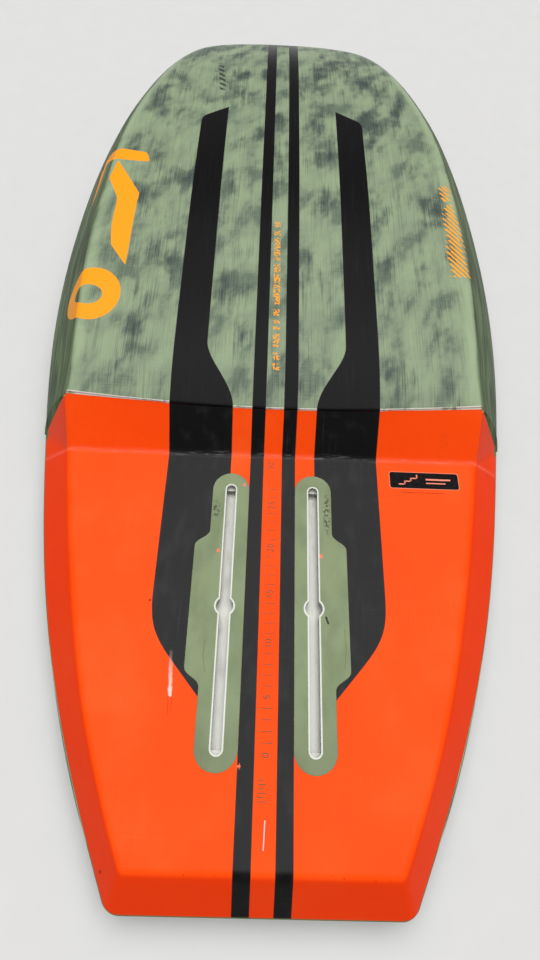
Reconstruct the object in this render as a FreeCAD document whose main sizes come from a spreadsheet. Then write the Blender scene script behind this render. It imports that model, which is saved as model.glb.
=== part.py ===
"""Foil board, bottom side up: a step-bottom hull on two foil tracks, with its deck pads and fittings.

Row frame, millimetres: +X across the board, +Y towards the nose, +Z out of the bottom.
The origin is under the middle of the bounding box, on the plane that the deck pads lie on.
"""
import FreeCAD, Part
import math
import os
import Sketcher

V = FreeCAD.Vector
doc = FreeCAD.newDocument("foil_board")

# ---------------------------------------------------------------- driving dimensions

sheet = doc.addObject("Spreadsheet::Sheet", "Sheet")
DIMENSIONS = [
    # hull
    ("board_length", 1321), ("board_width", 590), ("laminate", 1.5),
    ("deck_height", 6), ("apex_height", 34), ("rear_height", 62), ("front_height", 128),
    ("deck_edge_inset", 30), ("rail_inset", 56), ("rail_rise", 91), ("tail_corner", 18),
    ("rail_power", 1.3), ("tail_bevel_run", 32), ("nose_lift", 18), ("nose_lift_start", 430),
    ("step_foot", -225), ("step_slope", 0.9), ("step_end_reach", 232), ("step_top_reach", 234),
    ("step_top_run", 46.5), ("step_wall_reach", 272), ("step_wall_run", 35.5), ("skin_split", -285),
    # foil tracks, their foam blocks and the flush plates round them
    ("track_spacing", 90), ("track_middle", -400.3), ("track_length", 277),
    ("neck_width", 13), ("slot_width", 10), ("slot_length", 274),
    ("nut_width", 18.5), ("nut_way_length", 265), ("nut_rise", 7), ("lip_rise", 4), ("entry_radius", 8.8), ("collar_radius", 10.5),
    ("channel_width", 24), ("channel_rise", 15), ("channel_length", 286),
    ("block_width", 54), ("block_length", 312),
    ("plate_inner", 25.4), ("plate_outer", 65), ("plate_wing", 80),
    ("plate_length", 303.5), ("wing_front", 63.5), ("wing_rear", -60.3), ("wing_shoulder", 19),
    # deck pads
    ("pad_margin", 46), ("pad_gap", 8), ("screw_gap", 18), ("pad_split", -238), ("pad_tail", -566),
    ("pad_nose", 330), ("pad_end_corner", 120), ("pad_corner", 8), ("handle_clear", 6),
    # carry handle
    ("handle_place", 20), ("handle_length", 176), ("handle_width", 74), ("handle_depth", 44),
    ("handle_corner", 30), ("handle_wall", 3), ("handle_flange", 9), ("handle_lip", 2),
    ("grip_width", 26), ("grip_rise", 13), ("grip_sink", 4),
    # leash plug
    ("leash_place", -598), ("leash_radius", 17), ("leash_flange", 23), ("leash_depth", 26),
    ("leash_bore", 14), ("leash_floor", 3), ("leash_pin", 2.5), ("leash_pin_sink", 7),
    ("leash_pin_length", 32),
    # vent plug
    ("vent_place", 400), ("vent_radius", 12), ("vent_flange", 16), ("vent_depth", 24),
    ("vent_thread", 4), ("vent_seat", 9.5), ("vent_seat_depth", 5), ("vent_head", 8.5),
    ("vent_head_rise", 3), ("vent_shank", 14), ("vent_shank_gap", 0.1),
    ("vent_drive", 3), ("vent_drive_length", 12), ("vent_drive_depth", 2),
    ("ring_section", 1), ("ring_radius", 5.6),
    # strap inserts and the blocks that hold them in the foam
    ("insert_radius", 6.5), ("insert_depth", 24), ("insert_bore", 2.5), ("insert_thread", 20),
    ("insert_block_width", 30), ("insert_block_rise", 28),
]
for row, (alias, amount) in enumerate(DIMENSIONS, start=1):
    sheet.set("A%d" % row, alias)
    sheet.set("B%d" % row, str(amount))
    sheet.setAlias("B%d" % row, alias)
doc.recompute()


def size(alias):
    return float(sheet.get(alias))


NOSE = size("board_length") / 2
TAIL = -NOSE
HALF_WIDTH = size("board_width") / 2
SKIN = size("laminate")
DECK = size("deck_height")
APEX = size("apex_height")
REAR = size("rear_height")
FRONT = size("front_height")
TRACK_X = size("track_spacing") / 2
FAR = 400.0            # past every side of the board
MIRROR = (-1, 1)       # left, then right
OUTER_INSERT, INNER_INSERT, REAR_INSERT = (165, -62), (78, 96), (88, -418)
STRAP_INSERTS = [(side * x, y) for x, y in (OUTER_INSERT, INNER_INSERT, REAR_INSERT) for side in MIRROR]

# ---------------------------------------------------------------- hull: plan outline and rails

SIDE_LEAN = math.atan(0.466)              # the plan outline's straight stretch beside the tail
SIDE_FOOT = V(162, TAIL + 67, 0)
OUTLINE = [                               # half-widths from the straight stretch to the nose
    (208, TAIL + 184), (243, TAIL + 311), (268, TAIL + 444), (286, TAIL + 568),
    (HALF_WIDTH, 40), (292.5, 172), (277.5, NOSE - 347), (237, NOSE - 194),
    (188, NOSE - 79), (160, NOSE - 40), (113, NOSE - 11.5)]


def spline(points, tangents=None):
    curve = Part.BSplineCurve()
    if tangents:
        curve.interpolate(Points=points, InitialTangent=tangents[0], FinalTangent=tangents[1])
    else:
        curve.interpolate(Points=points)
    return curve


def outline_point_normals():
    """The outline's right-hand points with their outward directions, the nose point last."""
    points = [SIDE_FOOT] + [V(x, y, 0) for x, y in OUTLINE] + [V(0, NOSE, 0)]
    lean = V(math.sin(SIDE_LEAN), math.cos(SIDE_LEAN), 0)
    curve = spline(points, [lean, V(-1, 0, 0)])
    found = []
    for point in points:
        along = curve.tangent(curve.parameter(point))[0]
        found.append((point, V(along.y, -along.x, 0).normalize()))
    return found


OUTLINE_NORMALS = outline_point_normals()


def plan_wire(inset, height):
    """The closed plan outline drawn in by inset: tail edge, two corner arcs, and one curve."""
    radius = size("tail_corner")
    lean = V(math.sin(SIDE_LEAN), math.cos(SIDE_LEAN), 0)
    outward = V(lean.y, -lean.x, 0)
    tail_y = TAIL + inset
    side = SIDE_FOOT - outward * (inset + radius)
    centre_y = tail_y + radius
    centre = side + lean * ((centre_y - side.y) / lean.y)
    arc_start = V(centre.x, tail_y, 0)
    arc_end = centre + outward * radius
    middle = (V(0, -1, 0) + outward).normalize() * radius + centre
    right = [arc_end] + [point - normal * inset for point, normal in OUTLINE_NORMALS]
    left = [V(-point.x, point.y, 0) for point in reversed(right[:-1])]
    curve = spline(right + left, [lean, V(lean.x, -lean.y, 0)])

    def flip(point):
        return V(-point.x, point.y, 0)

    edges = [Part.LineSegment(flip(arc_start), arc_start).toShape(),
             Part.Arc(arc_start, middle, arc_end).toShape(),
             curve.toShape(),
             Part.Arc(flip(arc_end), flip(middle), flip(arc_start)).toShape()]
    wire = Part.Wire(edges)
    wire.translate(V(0, 0, height))
    return wire


def rail_body(draw_in):
    """The board's edge all round: a quarter ellipse under the widest line, a leaning wall over it."""
    drop = APEX - DECK
    below = [plan_wire(size("deck_edge_inset") * (1 - math.sqrt(1 - share * share)) + draw_in,
                       APEX - drop * share)
             for share in (1.0, 0.96, 0.86, 0.7, 0.45, 0.2, 0.0)]
    above = [plan_wire(size("rail_inset") * share ** size("rail_power") + draw_in,
                       APEX + size("rail_rise") * share)
             for share in (0.0, 0.15, 0.35, 0.6, 0.85, 1.15)]
    return (Part.makeLoft(below, True, False), Part.makeLoft(above, True, False))


# ---------------------------------------------------------------- hull: bottom, step and bevels

# Stations of the front bottom: place along the board, height at the centreline, and how much
# higher the bottom is a crease's width out to the side, so that it is hollow at the step and
# rounded at the nose.
BOTTOM_STATIONS = [
    (-232, REAR + 16, 4.4), (-184.5, REAR + 37, 4.4), (-146, REAR + 49, 4), (-106, REAR + 54.5, 3.5),
    (0, FRONT - 5.5, 2.5), (138, FRONT, 1.5), (264, FRONT - 2.5, 0), (364, FRONT - 8.5, -2),
    (460, FRONT - 16, -5), (522, FRONT - 26, -9), (580, FRONT - 40, -13), (625, FRONT - 55, -17),
    (NOSE, FRONT - 74, -20), (NOSE + 40, FRONT - 102, -22)]
CREASE_REFERENCE = 233.0


def prism(points, reach=FAR):
    """A solid as wide as the board, of a closed outline given as (Y, Z) points."""
    corners = [V(-reach, y, z) for y, z in points]
    face = Part.Face(Part.makePolygon(corners + corners[:1]))
    return face.extrude(V(2 * reach, 0, 0))


def front_bottom(drop):
    """Everything under the front bottom surface, lowered by drop."""
    floor = -20.0      # under the deck
    half = 330.0       # past the rails
    wires = []
    for y, height, hollow in BOTTOM_STATIONS:
        edge = height + hollow * (half / CREASE_REFERENCE) ** 2 - drop
        top = Part.BSplineCurve()
        poles = [V(-half, y, edge), V(0, y, 2 * (height - drop) - edge), V(half, y, edge)]
        top.buildFromPolesMultsKnots(poles, [3, 3], [0, 1], False, 2)
        lower = [V(half, y, floor), V(-half, y, floor)]
        wires.append(Part.Wire([top.toShape(),
                                Part.LineSegment(V(half, y, edge), lower[0]).toShape(),
                                Part.LineSegment(lower[0], lower[1]).toShape(),
                                Part.LineSegment(lower[1], V(-half, y, edge)).toShape()]))
    return Part.makeLoft(wires, True, False)


def step_prism(drop):
    """Everything ahead of and under the step's slope, lowered by drop along its normal."""
    slope = size("step_slope")
    foot = size("step_foot") + drop * math.sqrt(1 + slope * slope) / slope

    def slope_at(height):
        return foot + (height - REAR) / slope

    return prism([(slope_at(-20), -20), (NOSE + 100, -20), (NOSE + 100, FAR), (slope_at(FAR), FAR)])


def rear_prism(drop):
    """Everything under the rear flat and the tail bevel, lowered by drop."""
    rise = REAR - APEX
    run = size("tail_bevel_run")
    shift = drop * (math.hypot(rise, run) - run) / rise
    top = REAR - drop
    start = TAIL + run + shift
    return prism([(start - (top + 20) * run / rise, -20), (start, top), (0, top), (0, -20)])


# Half-widths of the rear flat's crease and of the bevel's lower edge, at places along the board.
BEVEL_STATIONS = [(-700, 85.2, 112.4), (-628.5, 118.5, 145.7), (-522.5, 162, 190.8),
                  (-376.5, 202, 236.6), (-225, 232, 267), (-120, 248, 283)]


def bevel_tool(side, drop):
    """What the side bevel and the small facet at the step's end take off one side of the hull."""
    rise = REAR - APEX
    run = size("tail_bevel_run")          # the side bevel leans about as much as the tail's
    spread = drop * math.hypot(rise, run) / rise

    def level(share):
        height = REAR + share * -rise
        inner = [V(side * (crease + share * (edge - crease) - spread), y, height)
                 for y, crease, edge in BEVEL_STATIONS]
        outer = [V(side * FAR, inner[-1].y, height), V(side * FAR, inner[0].y, height)]
        return Part.Wire([spline(inner).toShape(),
                          Part.LineSegment(inner[-1], outer[0]).toShape(),
                          Part.LineSegment(outer[0], outer[1]).toShape(),
                          Part.LineSegment(outer[1], inner[0]).toShape()])

    high_over, far_under = -3.5, 2.0      # shares of the bevel's height, past the whole hull
    shaved = Part.makeLoft([level(high_over), level(far_under)], True, True)
    start, climb = size("step_foot"), size("step_top_run") * size("step_slope")
    foot = V(side * size("step_end_reach"), start, REAR)
    top = V(side * size("step_top_reach"), start + size("step_top_run"), REAR + climb)
    wall = V(side * size("step_wall_reach"), start + size("step_wall_run"), APEX)
    outward = ((top - foot).cross(wall - foot) * side).normalize()
    if outward.z < 0:
        outward = outward * -1
    beyond = Part.makeBox(3 * FAR, 3 * FAR, 2 * FAR, V(-1.5 * FAR, -1.5 * FAR, 0))
    beyond.Placement = FreeCAD.Placement(foot - outward * drop, FreeCAD.Rotation(V(0, 0, 1), outward))
    return shaved.common(beyond)


def nose_lift(rise):
    """What the deck's upturned nose takes off, above the deck plane."""
    start, end, lift = size("nose_lift_start"), NOSE + 60, size("nose_lift")
    deck, floor = DECK + rise, -30.0

    def at(y, z):
        return V(-FAR, y, z)

    lifted = Part.Arc(at(start, deck), at((start + end) / 2, deck + lift / 4), at(end, deck + lift))
    edges = [lifted.toShape(),
             Part.LineSegment(at(end, deck + lift), at(end, floor)).toShape(),
             Part.LineSegment(at(end, floor), at(start, floor)).toShape(),
             Part.LineSegment(at(start, floor), at(start, deck)).toShape()]
    return Part.Face(Part.Wire(edges)).extrude(V(2 * FAR, 0, 0))


def hull_solid(rails, bottom, rear, deck=0.0):
    """The hull with its rails, front bottom, rear surfaces and deck drawn in by these amounts."""
    below, above = rail_body(rails)
    body = below.fuse(above)
    roof = front_bottom(bottom).common(step_prism(rear)).fuse(rear_prism(rear))
    body = body.common(roof)
    for side in MIRROR:
        body = body.cut(bevel_tool(side, rear))
    body = body.cut(nose_lift(deck))
    if deck:
        under = 50.0
        body = body.cut(Part.makeBox(2 * FAR, 4 * FAR, under + DECK + deck, V(-FAR, -2 * FAR, -under)))
    return body


# ---------------------------------------------------------------- helpers for the fittings


def plane(body, role):
    for feature in body.Origin.OriginFeatures:
        if feature.Role == role:
            return feature


def new_body(label):
    body = doc.addObject("PartDesign::Body", label)
    body.Label = label
    return body


def sketch_at(body, name, lift):
    """A sketch on the body's own XY plane, raised by the expression lift."""
    sketch = body.newObject("Sketcher::SketchObject", name)
    sketch.AttachmentSupport = [(plane(body, "XY_Plane"), "")]
    sketch.MapMode = "FlatFace"
    sketch.setExpression("AttachmentOffset.Base.z", lift)
    return sketch


def add_circle(sketch, radius):
    index = sketch.addGeometry(Part.Circle(V(0, 0, 0), V(0, 0, 1), size(radius)), False)
    sketch.addConstraint(Sketcher.Constraint("Coincident", index, 3, -1, 1))
    bound = sketch.addConstraint(Sketcher.Constraint("Radius", index, size(radius)))
    sketch.setExpression("Constraints[%d]" % bound, "Sheet." + radius)


def add_rounded(sketch, width, length, corner):
    """A rounded rectangle about the origin: expressions for its width, length and corner radius."""
    w, l, r = (sketch.evalExpression(text) for text in (width, length, corner))
    x, y = w / 2, l / 2
    points = [(-x + r, -y), (x - r, -y), (x, -y + r), (x, y - r),
              (x - r, y), (-x + r, y), (-x, y - r), (-x, -y + r)]
    centres = [(x - r, -y + r), (x - r, y - r), (-x + r, y - r), (-x + r, -y + r)]
    lines = []
    arcs = []
    for turn in range(4):
        start, end = points[2 * turn], points[2 * turn + 1]
        lines.append(sketch.addGeometry(Part.LineSegment(V(*start, 0), V(*end, 0)), False))
        circle = Part.Circle(V(*centres[turn], 0), V(0, 0, 1), r)
        begin = (turn - 1) * math.pi / 2
        arcs.append(sketch.addGeometry(Part.ArcOfCircle(circle, begin, begin + math.pi / 2), False))
    for turn in range(4):
        following = lines[(turn + 1) % 4]
        sketch.addConstraint(Sketcher.Constraint("Tangent", lines[turn], 2, arcs[turn], 1))
        sketch.addConstraint(Sketcher.Constraint("Tangent", arcs[turn], 2, following, 1))
    sketch.addConstraint(Sketcher.Constraint("Horizontal", lines[0]))
    sketch.addConstraint(Sketcher.Constraint("Vertical", lines[1]))
    for turn in range(1, 4):
        sketch.addConstraint(Sketcher.Constraint("Equal", arcs[0], arcs[turn]))
    sketch.addConstraint(Sketcher.Constraint("Symmetric", arcs[0], 3, arcs[2], 3, -1, 1))
    for kind, first, second, value, text in (
            ("DistanceX", arcs[3], arcs[0], w - 2 * r, "(%s) - 2 * (%s)" % (width, corner)),
            ("DistanceY", arcs[0], arcs[1], l - 2 * r, "(%s) - 2 * (%s)" % (length, corner))):
        bound = sketch.addConstraint(Sketcher.Constraint(kind, first, 3, second, 3, value))
        sketch.setExpression("Constraints[%d]" % bound, text)
    bound = sketch.addConstraint(Sketcher.Constraint("Radius", arcs[0], r))
    sketch.setExpression("Constraints[%d]" % bound, corner)


def add_rectangle(sketch, width, length):
    """A rectangle about the origin: expressions for its width and length."""
    w, l = (sketch.evalExpression(text) / 2 for text in (width, length))
    corners = [V(-w, -l, 0), V(w, -l, 0), V(w, l, 0), V(-w, l, 0)]
    edges = [sketch.addGeometry(Part.LineSegment(corners[k], corners[(k + 1) % 4]), False)
             for k in range(4)]
    for k in range(4):
        sketch.addConstraint(Sketcher.Constraint("Coincident", edges[k], 2, edges[(k + 1) % 4], 1))
    for k, kind in enumerate(("Horizontal", "Vertical", "Horizontal", "Vertical")):
        sketch.addConstraint(Sketcher.Constraint(kind, edges[k]))
    sketch.addConstraint(Sketcher.Constraint("Symmetric", edges[0], 1, edges[2], 1, -1, 1))
    for kind, edge, value, text in (("DistanceX", edges[0], 2 * w, width),
                                    ("DistanceY", edges[1], 2 * l, length)):
        bound = sketch.addConstraint(Sketcher.Constraint(kind, edge, 1, edge, 2, value))
        sketch.setExpression("Constraints[%d]" % bound, text)


def add_pill(sketch, width, length):
    """A round-ended slot along Y about the origin: expressions for its width and length."""
    r = sketch.evalExpression(width) / 2
    reach = sketch.evalExpression(length) / 2 - r
    top_circle = Part.Circle(V(0, reach, 0), V(0, 0, 1), r)
    low_circle = Part.Circle(V(0, -reach, 0), V(0, 0, 1), r)
    top = sketch.addGeometry(Part.ArcOfCircle(top_circle, 0, math.pi), False)
    low = sketch.addGeometry(Part.ArcOfCircle(low_circle, math.pi, 2 * math.pi), False)
    left = sketch.addGeometry(Part.LineSegment(V(-r, reach, 0), V(-r, -reach, 0)), False)
    right = sketch.addGeometry(Part.LineSegment(V(r, -reach, 0), V(r, reach, 0)), False)
    for first, second in ((top, left), (left, low), (low, right), (right, top)):
        sketch.addConstraint(Sketcher.Constraint("Tangent", first, 2, second, 1))
    sketch.addConstraint(Sketcher.Constraint("Vertical", left))
    sketch.addConstraint(Sketcher.Constraint("Symmetric", top, 3, low, 3, -1, 1))
    bound = sketch.addConstraint(Sketcher.Constraint("Radius", top, r))
    sketch.setExpression("Constraints[%d]" % bound, "(%s) / 2" % width)
    bound = sketch.addConstraint(Sketcher.Constraint("DistanceY", low, 3, top, 3, 2 * reach))
    sketch.setExpression("Constraints[%d]" % bound, "(%s) - (%s)" % (length, width))


def pad(body, sketch, rise):
    """Material from the sketch upwards, as deep as the expression rise."""
    feature = body.newObject("PartDesign::Pad", sketch.Name + "Pad")
    feature.Profile = sketch
    feature.setExpression("Length", rise)
    return feature


def pocket(body, sketch, rise):
    """A cut from the sketch upwards, as deep as the expression rise."""
    feature = body.newObject("PartDesign::Pocket", sketch.Name + "Pocket")
    feature.Profile = sketch
    feature.setExpression("Length", rise)
    feature.Reversed = True
    return feature


def place_body(body, x=None, y=None):
    for axis, text in (("x", x), ("y", y)):
        if text:
            body.setExpression("Placement.Base." + axis, text)


def moved(shape, y):
    """A copy of a shape moved along the board."""
    copy = shape.copy()
    copy.translate(V(0, y, 0))
    return copy


def pill_solid(width, length, low, high):
    """A round-ended solid along Y about the origin, from height low to height high."""
    reach = length / 2 - width / 2
    bar = Part.makeBox(width, 2 * reach, high - low, V(-width / 2, -reach, low))
    for end in MIRROR:
        bar = bar.fuse(Part.makeCylinder(width / 2, high - low, V(0, end * reach, low)))
    return bar.removeSplitter()


def rounded_solid(width, length, corner, low, high):
    box = Part.makeBox(width, length, high - low, V(-width / 2, -length / 2, low))
    return box.makeFillet(corner, [edge for edge in box.Edges if abs(edge.tangentAt(0).z) > 0.9])


SUBPARTS = []


def keep_body(body):
    SUBPARTS.append(body)


def keep_shape(label, shape):
    feature = doc.addObject("Part::Feature", label)
    feature.Label = label
    feature.Shape = shape
    SUBPARTS.append(feature)


# ---------------------------------------------------------------- foil tracks and their seats


def track(label, side):
    """An aluminium channel with a T-shaped slot; its round-ended mouth is flush with the bottom."""
    body = new_body(label)
    floor = "Sheet.rear_height - Sheet.laminate - Sheet.channel_rise"
    lip = "Sheet.rear_height - Sheet.laminate - Sheet.lip_rise"
    channel = sketch_at(body, label + "_channel", floor)
    add_rectangle(channel, "Sheet.channel_width", "Sheet.channel_length")
    pad(body, channel, "Sheet.channel_rise")
    neck = sketch_at(body, label + "_neck", "Sheet.rear_height - Sheet.laminate")
    add_pill(neck, "Sheet.neck_width", "Sheet.track_length")
    pad(body, neck, "Sheet.laminate")
    collar = sketch_at(body, label + "_collar", "Sheet.rear_height - Sheet.laminate")
    add_circle(collar, "collar_radius")
    pad(body, collar, "Sheet.laminate")
    doc.recompute()
    nut_way = sketch_at(body, label + "_nut_way", lip + " - Sheet.nut_rise")
    add_rectangle(nut_way, "Sheet.nut_width", "Sheet.nut_way_length")
    pocket(body, nut_way, "Sheet.nut_rise")
    slot = sketch_at(body, label + "_slot", lip)
    add_pill(slot, "Sheet.slot_width", "Sheet.slot_length")
    pocket(body, slot, "Sheet.lip_rise + Sheet.laminate")
    entry = sketch_at(body, label + "_entry", lip)
    add_circle(entry, "entry_radius")
    pocket(body, entry, "Sheet.lip_rise + Sheet.laminate")
    place_body(body, "%d * Sheet.track_spacing / 2" % side, "Sheet.track_middle")
    keep_body(body)


def foil_block(label, side):
    """The dense foam block that carries a track, from the deck laminate to the bottom laminate."""
    body = new_body(label)
    base = sketch_at(body, label + "_base", "Sheet.deck_height + Sheet.laminate")
    add_rectangle(base, "Sheet.block_width", "Sheet.block_length")
    pad(body, base, "Sheet.rear_height - Sheet.deck_height - 2 * Sheet.laminate")
    doc.recompute()
    seat = sketch_at(body, label + "_seat", "Sheet.rear_height - Sheet.laminate - Sheet.channel_rise")
    add_rectangle(seat, "Sheet.channel_width", "Sheet.channel_length")
    pocket(body, seat, "Sheet.channel_rise")
    place_body(body, "%d * Sheet.track_spacing / 2" % side, "Sheet.track_middle")
    keep_body(body)


def block_space(side):
    width, length = size("block_width"), size("block_length")
    return Part.makeBox(width, length, REAR - DECK,
                        V(side * TRACK_X - width / 2, size("track_middle") - length / 2, DECK + SKIN))


def plate_outline(side):
    """The flush plate round a track: a round-ended strip with a wing out towards the rail."""
    inner, outer, wing = size("plate_inner"), size("plate_outer"), size("plate_wing")
    middle, half = size("track_middle"), size("plate_length") / 2
    centre, radius = (inner + outer) / 2, (outer - inner) / 2
    front, rear = middle + size("wing_front"), middle + size("wing_rear")
    shoulder = size("wing_shoulder")
    y_top, y_low = middle + half - radius, middle - half + radius

    def at(x, y):
        return V(side * x, y, REAR - SKIN)

    def shoulder_curve(y_wing, y_strip):
        ease = (y_strip - y_wing) * 0.45
        curve = Part.BezierCurve()
        curve.setPoles([at(wing, y_wing), at(wing, y_wing + ease),
                        at(outer, y_strip - ease), at(outer, y_strip)])
        return curve.toShape()

    edges = [Part.LineSegment(at(inner, y_low), at(inner, y_top)).toShape(),
             Part.Arc(at(inner, y_top), at(centre, y_top + radius), at(outer, y_top)).toShape(),
             Part.LineSegment(at(outer, y_top), at(outer, front + shoulder)).toShape(),
             shoulder_curve(front, front + shoulder),
             Part.LineSegment(at(wing, front), at(wing, rear)).toShape(),
             shoulder_curve(rear, rear - shoulder),
             Part.LineSegment(at(outer, rear - shoulder), at(outer, y_low)).toShape(),
             Part.Arc(at(outer, y_low), at(centre, y_low - radius), at(inner, y_low)).toShape()]
    return Part.Face(Part.Wire(Part.__sortEdges__(edges))).extrude(V(0, 0, SKIN))


def neck_space(side):
    neck = pill_solid(size("neck_width"), size("track_length"), REAR - SKIN, REAR)
    neck = neck.fuse(Part.makeCylinder(size("collar_radius"), SKIN, V(0, 0, REAR - SKIN)))
    neck.translate(V(side * TRACK_X, size("track_middle"), 0))
    return neck


# ---------------------------------------------------------------- fittings let into the deck


def handle_cup():
    body = new_body("handle_cup")
    shell = sketch_at(body, "handle_shell", "Sheet.deck_height")
    add_rounded(shell, "Sheet.handle_width", "Sheet.handle_length", "Sheet.handle_corner")
    pad(body, shell, "Sheet.handle_depth")
    rim = sketch_at(body, "handle_rim", "Sheet.deck_height")
    add_rounded(rim, "Sheet.handle_width + 2 * Sheet.handle_flange",
                "Sheet.handle_length + 2 * Sheet.handle_flange", "Sheet.handle_corner + Sheet.handle_flange")
    pad(body, rim, "Sheet.handle_lip")
    doc.recompute()
    well = sketch_at(body, "handle_well", "Sheet.deck_height")
    add_rounded(well, "Sheet.handle_width - 2 * Sheet.handle_wall",
                "Sheet.handle_length - 2 * Sheet.handle_wall", "Sheet.handle_corner - Sheet.handle_wall")
    pocket(body, well, "Sheet.handle_depth - Sheet.handle_wall")
    place_body(body, None, "Sheet.handle_place")
    keep_body(body)


def handle_grip():
    """The bar across the handle's recess, between its end walls, with rounded long edges."""
    body = new_body("handle_grip")
    bar = sketch_at(body, "grip_bar", "Sheet.deck_height + Sheet.grip_sink")
    add_rectangle(bar, "Sheet.grip_width", "Sheet.handle_length - 2 * Sheet.handle_wall")
    solid = pad(body, bar, "Sheet.grip_rise")
    doc.recompute()
    long_edges = ["Edge%d" % (index + 1) for index, edge in enumerate(solid.Shape.Edges)
                  if edge.Length > size("grip_width") + 1]
    rounds = body.newObject("PartDesign::Fillet", "grip_rounds")
    rounds.Base = (solid, long_edges)
    rounds.setExpression("Radius", "Sheet.grip_rise * 0.4")
    place_body(body, None, "Sheet.handle_place")
    keep_body(body)


def handle_space():
    flange = size("handle_flange")
    width, length, corner = size("handle_width"), size("handle_length"), size("handle_corner")
    cup = rounded_solid(width, length, corner, DECK - 1, DECK + size("handle_depth"))
    rim = rounded_solid(width + 2 * flange, length + 2 * flange, corner + flange,
                        DECK - 1, DECK + size("handle_lip"))
    return moved(cup.fuse(rim), size("handle_place"))


def round_cup(label, radius, flange, depth, lip, wells, x, y):
    """A round flanged cup in the deck; wells are (radius alias, depth expression) cuts."""
    body = new_body(label)
    barrel = sketch_at(body, label + "_barrel", "Sheet.deck_height")
    add_circle(barrel, radius)
    pad(body, barrel, depth)
    rim = sketch_at(body, label + "_rim", "Sheet.deck_height")
    add_circle(rim, flange)
    pad(body, rim, lip)
    doc.recompute()
    for number, (bore, cut) in enumerate(wells):
        well = sketch_at(body, "%s_well%d" % (label, number), "Sheet.deck_height")
        add_circle(well, bore)
        pocket(body, well, cut)
    place_body(body, x, y)
    return body


def round_space(radius, flange, depth, x, y):
    barrel = Part.makeCylinder(size(radius), size(depth) + 1, V(x, y, DECK - 1))
    return barrel.fuse(Part.makeCylinder(size(flange), size("handle_lip") + 1, V(x, y, DECK - 1)))


def leash_plug():
    """The leash cup and the steel pin across it, whose ends are let into the cup's wall."""
    cup = round_cup("leash_cup_blank", "leash_radius", "leash_flange", "Sheet.leash_depth",
                    "Sheet.handle_lip", [("leash_bore", "Sheet.leash_depth - Sheet.leash_floor")],
                    None, "Sheet.leash_place")
    pin = doc.addObject("Part::Cylinder", "leash_pin")
    pin.Label = "leash_pin"
    pin.setExpression("Radius", "Sheet.leash_pin")
    pin.setExpression("Height", "Sheet.leash_pin_length")
    pin.Placement = FreeCAD.Placement(V(0, 0, 0), FreeCAD.Rotation(V(0, 1, 0), 90))
    pin.setExpression("Placement.Base.x", "-Sheet.leash_pin_length / 2")
    pin.setExpression("Placement.Base.y", "Sheet.leash_place")
    pin.setExpression("Placement.Base.z", "Sheet.deck_height + Sheet.leash_pin_sink")
    bored = doc.addObject("Part::Cut", "leash_cup")
    bored.Label = "leash_cup"
    bored.Base = cup
    bored.Tool = pin
    SUBPARTS.extend([bored, pin])


def vent_plug():
    """The vent: a threaded housing, the screw that closes it and the ring under its head."""
    housing = round_cup("vent_housing", "vent_radius", "vent_flange", "Sheet.vent_depth",
                        "Sheet.handle_lip",
                        [("vent_seat", "Sheet.vent_seat_depth"), ("vent_thread", "Sheet.vent_depth")],
                        None, "Sheet.vent_place")
    keep_body(housing)
    screw = new_body("vent_screw")
    head = sketch_at(screw, "vent_head_disc", "Sheet.deck_height")
    add_circle(head, "vent_head")
    pad(screw, head, "Sheet.vent_head_rise")
    shank = sketch_at(screw, "vent_shank_disc", "Sheet.deck_height")
    index = shank.addGeometry(Part.Circle(V(0, 0, 0), V(0, 0, 1), size("vent_thread")), False)
    shank.addConstraint(Sketcher.Constraint("Coincident", index, 3, -1, 1))
    radius = size("vent_thread") - size("vent_shank_gap")
    bound = shank.addConstraint(Sketcher.Constraint("Radius", index, radius))
    shank.setExpression("Constraints[%d]" % bound, "Sheet.vent_thread - Sheet.vent_shank_gap")
    pad(screw, shank, "Sheet.vent_head_rise + Sheet.vent_shank")
    doc.recompute()
    drive = sketch_at(screw, "vent_drive_slot", "Sheet.deck_height")
    add_rectangle(drive, "Sheet.vent_drive", "Sheet.vent_drive_length")
    pocket(screw, drive, "Sheet.vent_drive_depth")
    place_body(screw, None, "Sheet.vent_place")
    keep_body(screw)
    ring = doc.addObject("Part::Torus", "vent_ring")
    ring.Label = "vent_ring"
    ring.setExpression("Radius1", "Sheet.ring_radius")
    ring.setExpression("Radius2", "Sheet.ring_section")
    ring.setExpression("Placement.Base.y", "Sheet.vent_place")
    ring.setExpression("Placement.Base.z", "Sheet.deck_height + Sheet.vent_head_rise + Sheet.ring_section")
    SUBPARTS.append(ring)


def strap_inserts():
    """Threaded plugs for foot-strap screws, flush with the deck."""
    plugs = []
    for x, y in STRAP_INSERTS:
        plug = Part.makeCylinder(size("insert_radius"), size("insert_depth"), V(x, y, DECK))
        bore = Part.makeCylinder(size("insert_bore"), size("insert_thread"), V(x, y, DECK))
        plugs.append(plug.cut(bore))
    return Part.makeCompound(plugs)


def insert_block_space(x, y):
    width = size("insert_block_width")
    corner = V(x - width / 2, y - width / 2, DECK + SKIN)
    return Part.makeBox(width, width, size("insert_block_rise"), corner)


def insert_blocks():
    """The dense blocks that hold the strap inserts in the foam, sealed under the deck laminate."""
    blocks = []
    for x, y in STRAP_INSERTS:
        seat = Part.makeCylinder(size("insert_radius"), size("insert_depth"), V(x, y, DECK))
        blocks.append(insert_block_space(x, y).cut(seat))
    return Part.makeCompound(blocks)


# ---------------------------------------------------------------- deck pads


def pad_sheet():
    """The whole padded area of the deck, before it is divided."""
    sheet_solid = Part.Face(plan_wire(size("pad_margin"), 0)).extrude(V(0, 0, DECK))
    tail, nose = size("pad_tail"), size("pad_nose")
    window = rounded_solid(2 * HALF_WIDTH, nose - tail, size("pad_end_corner"), -1, DECK + 1)
    return sheet_solid.common(moved(window, (nose + tail) / 2))


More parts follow.
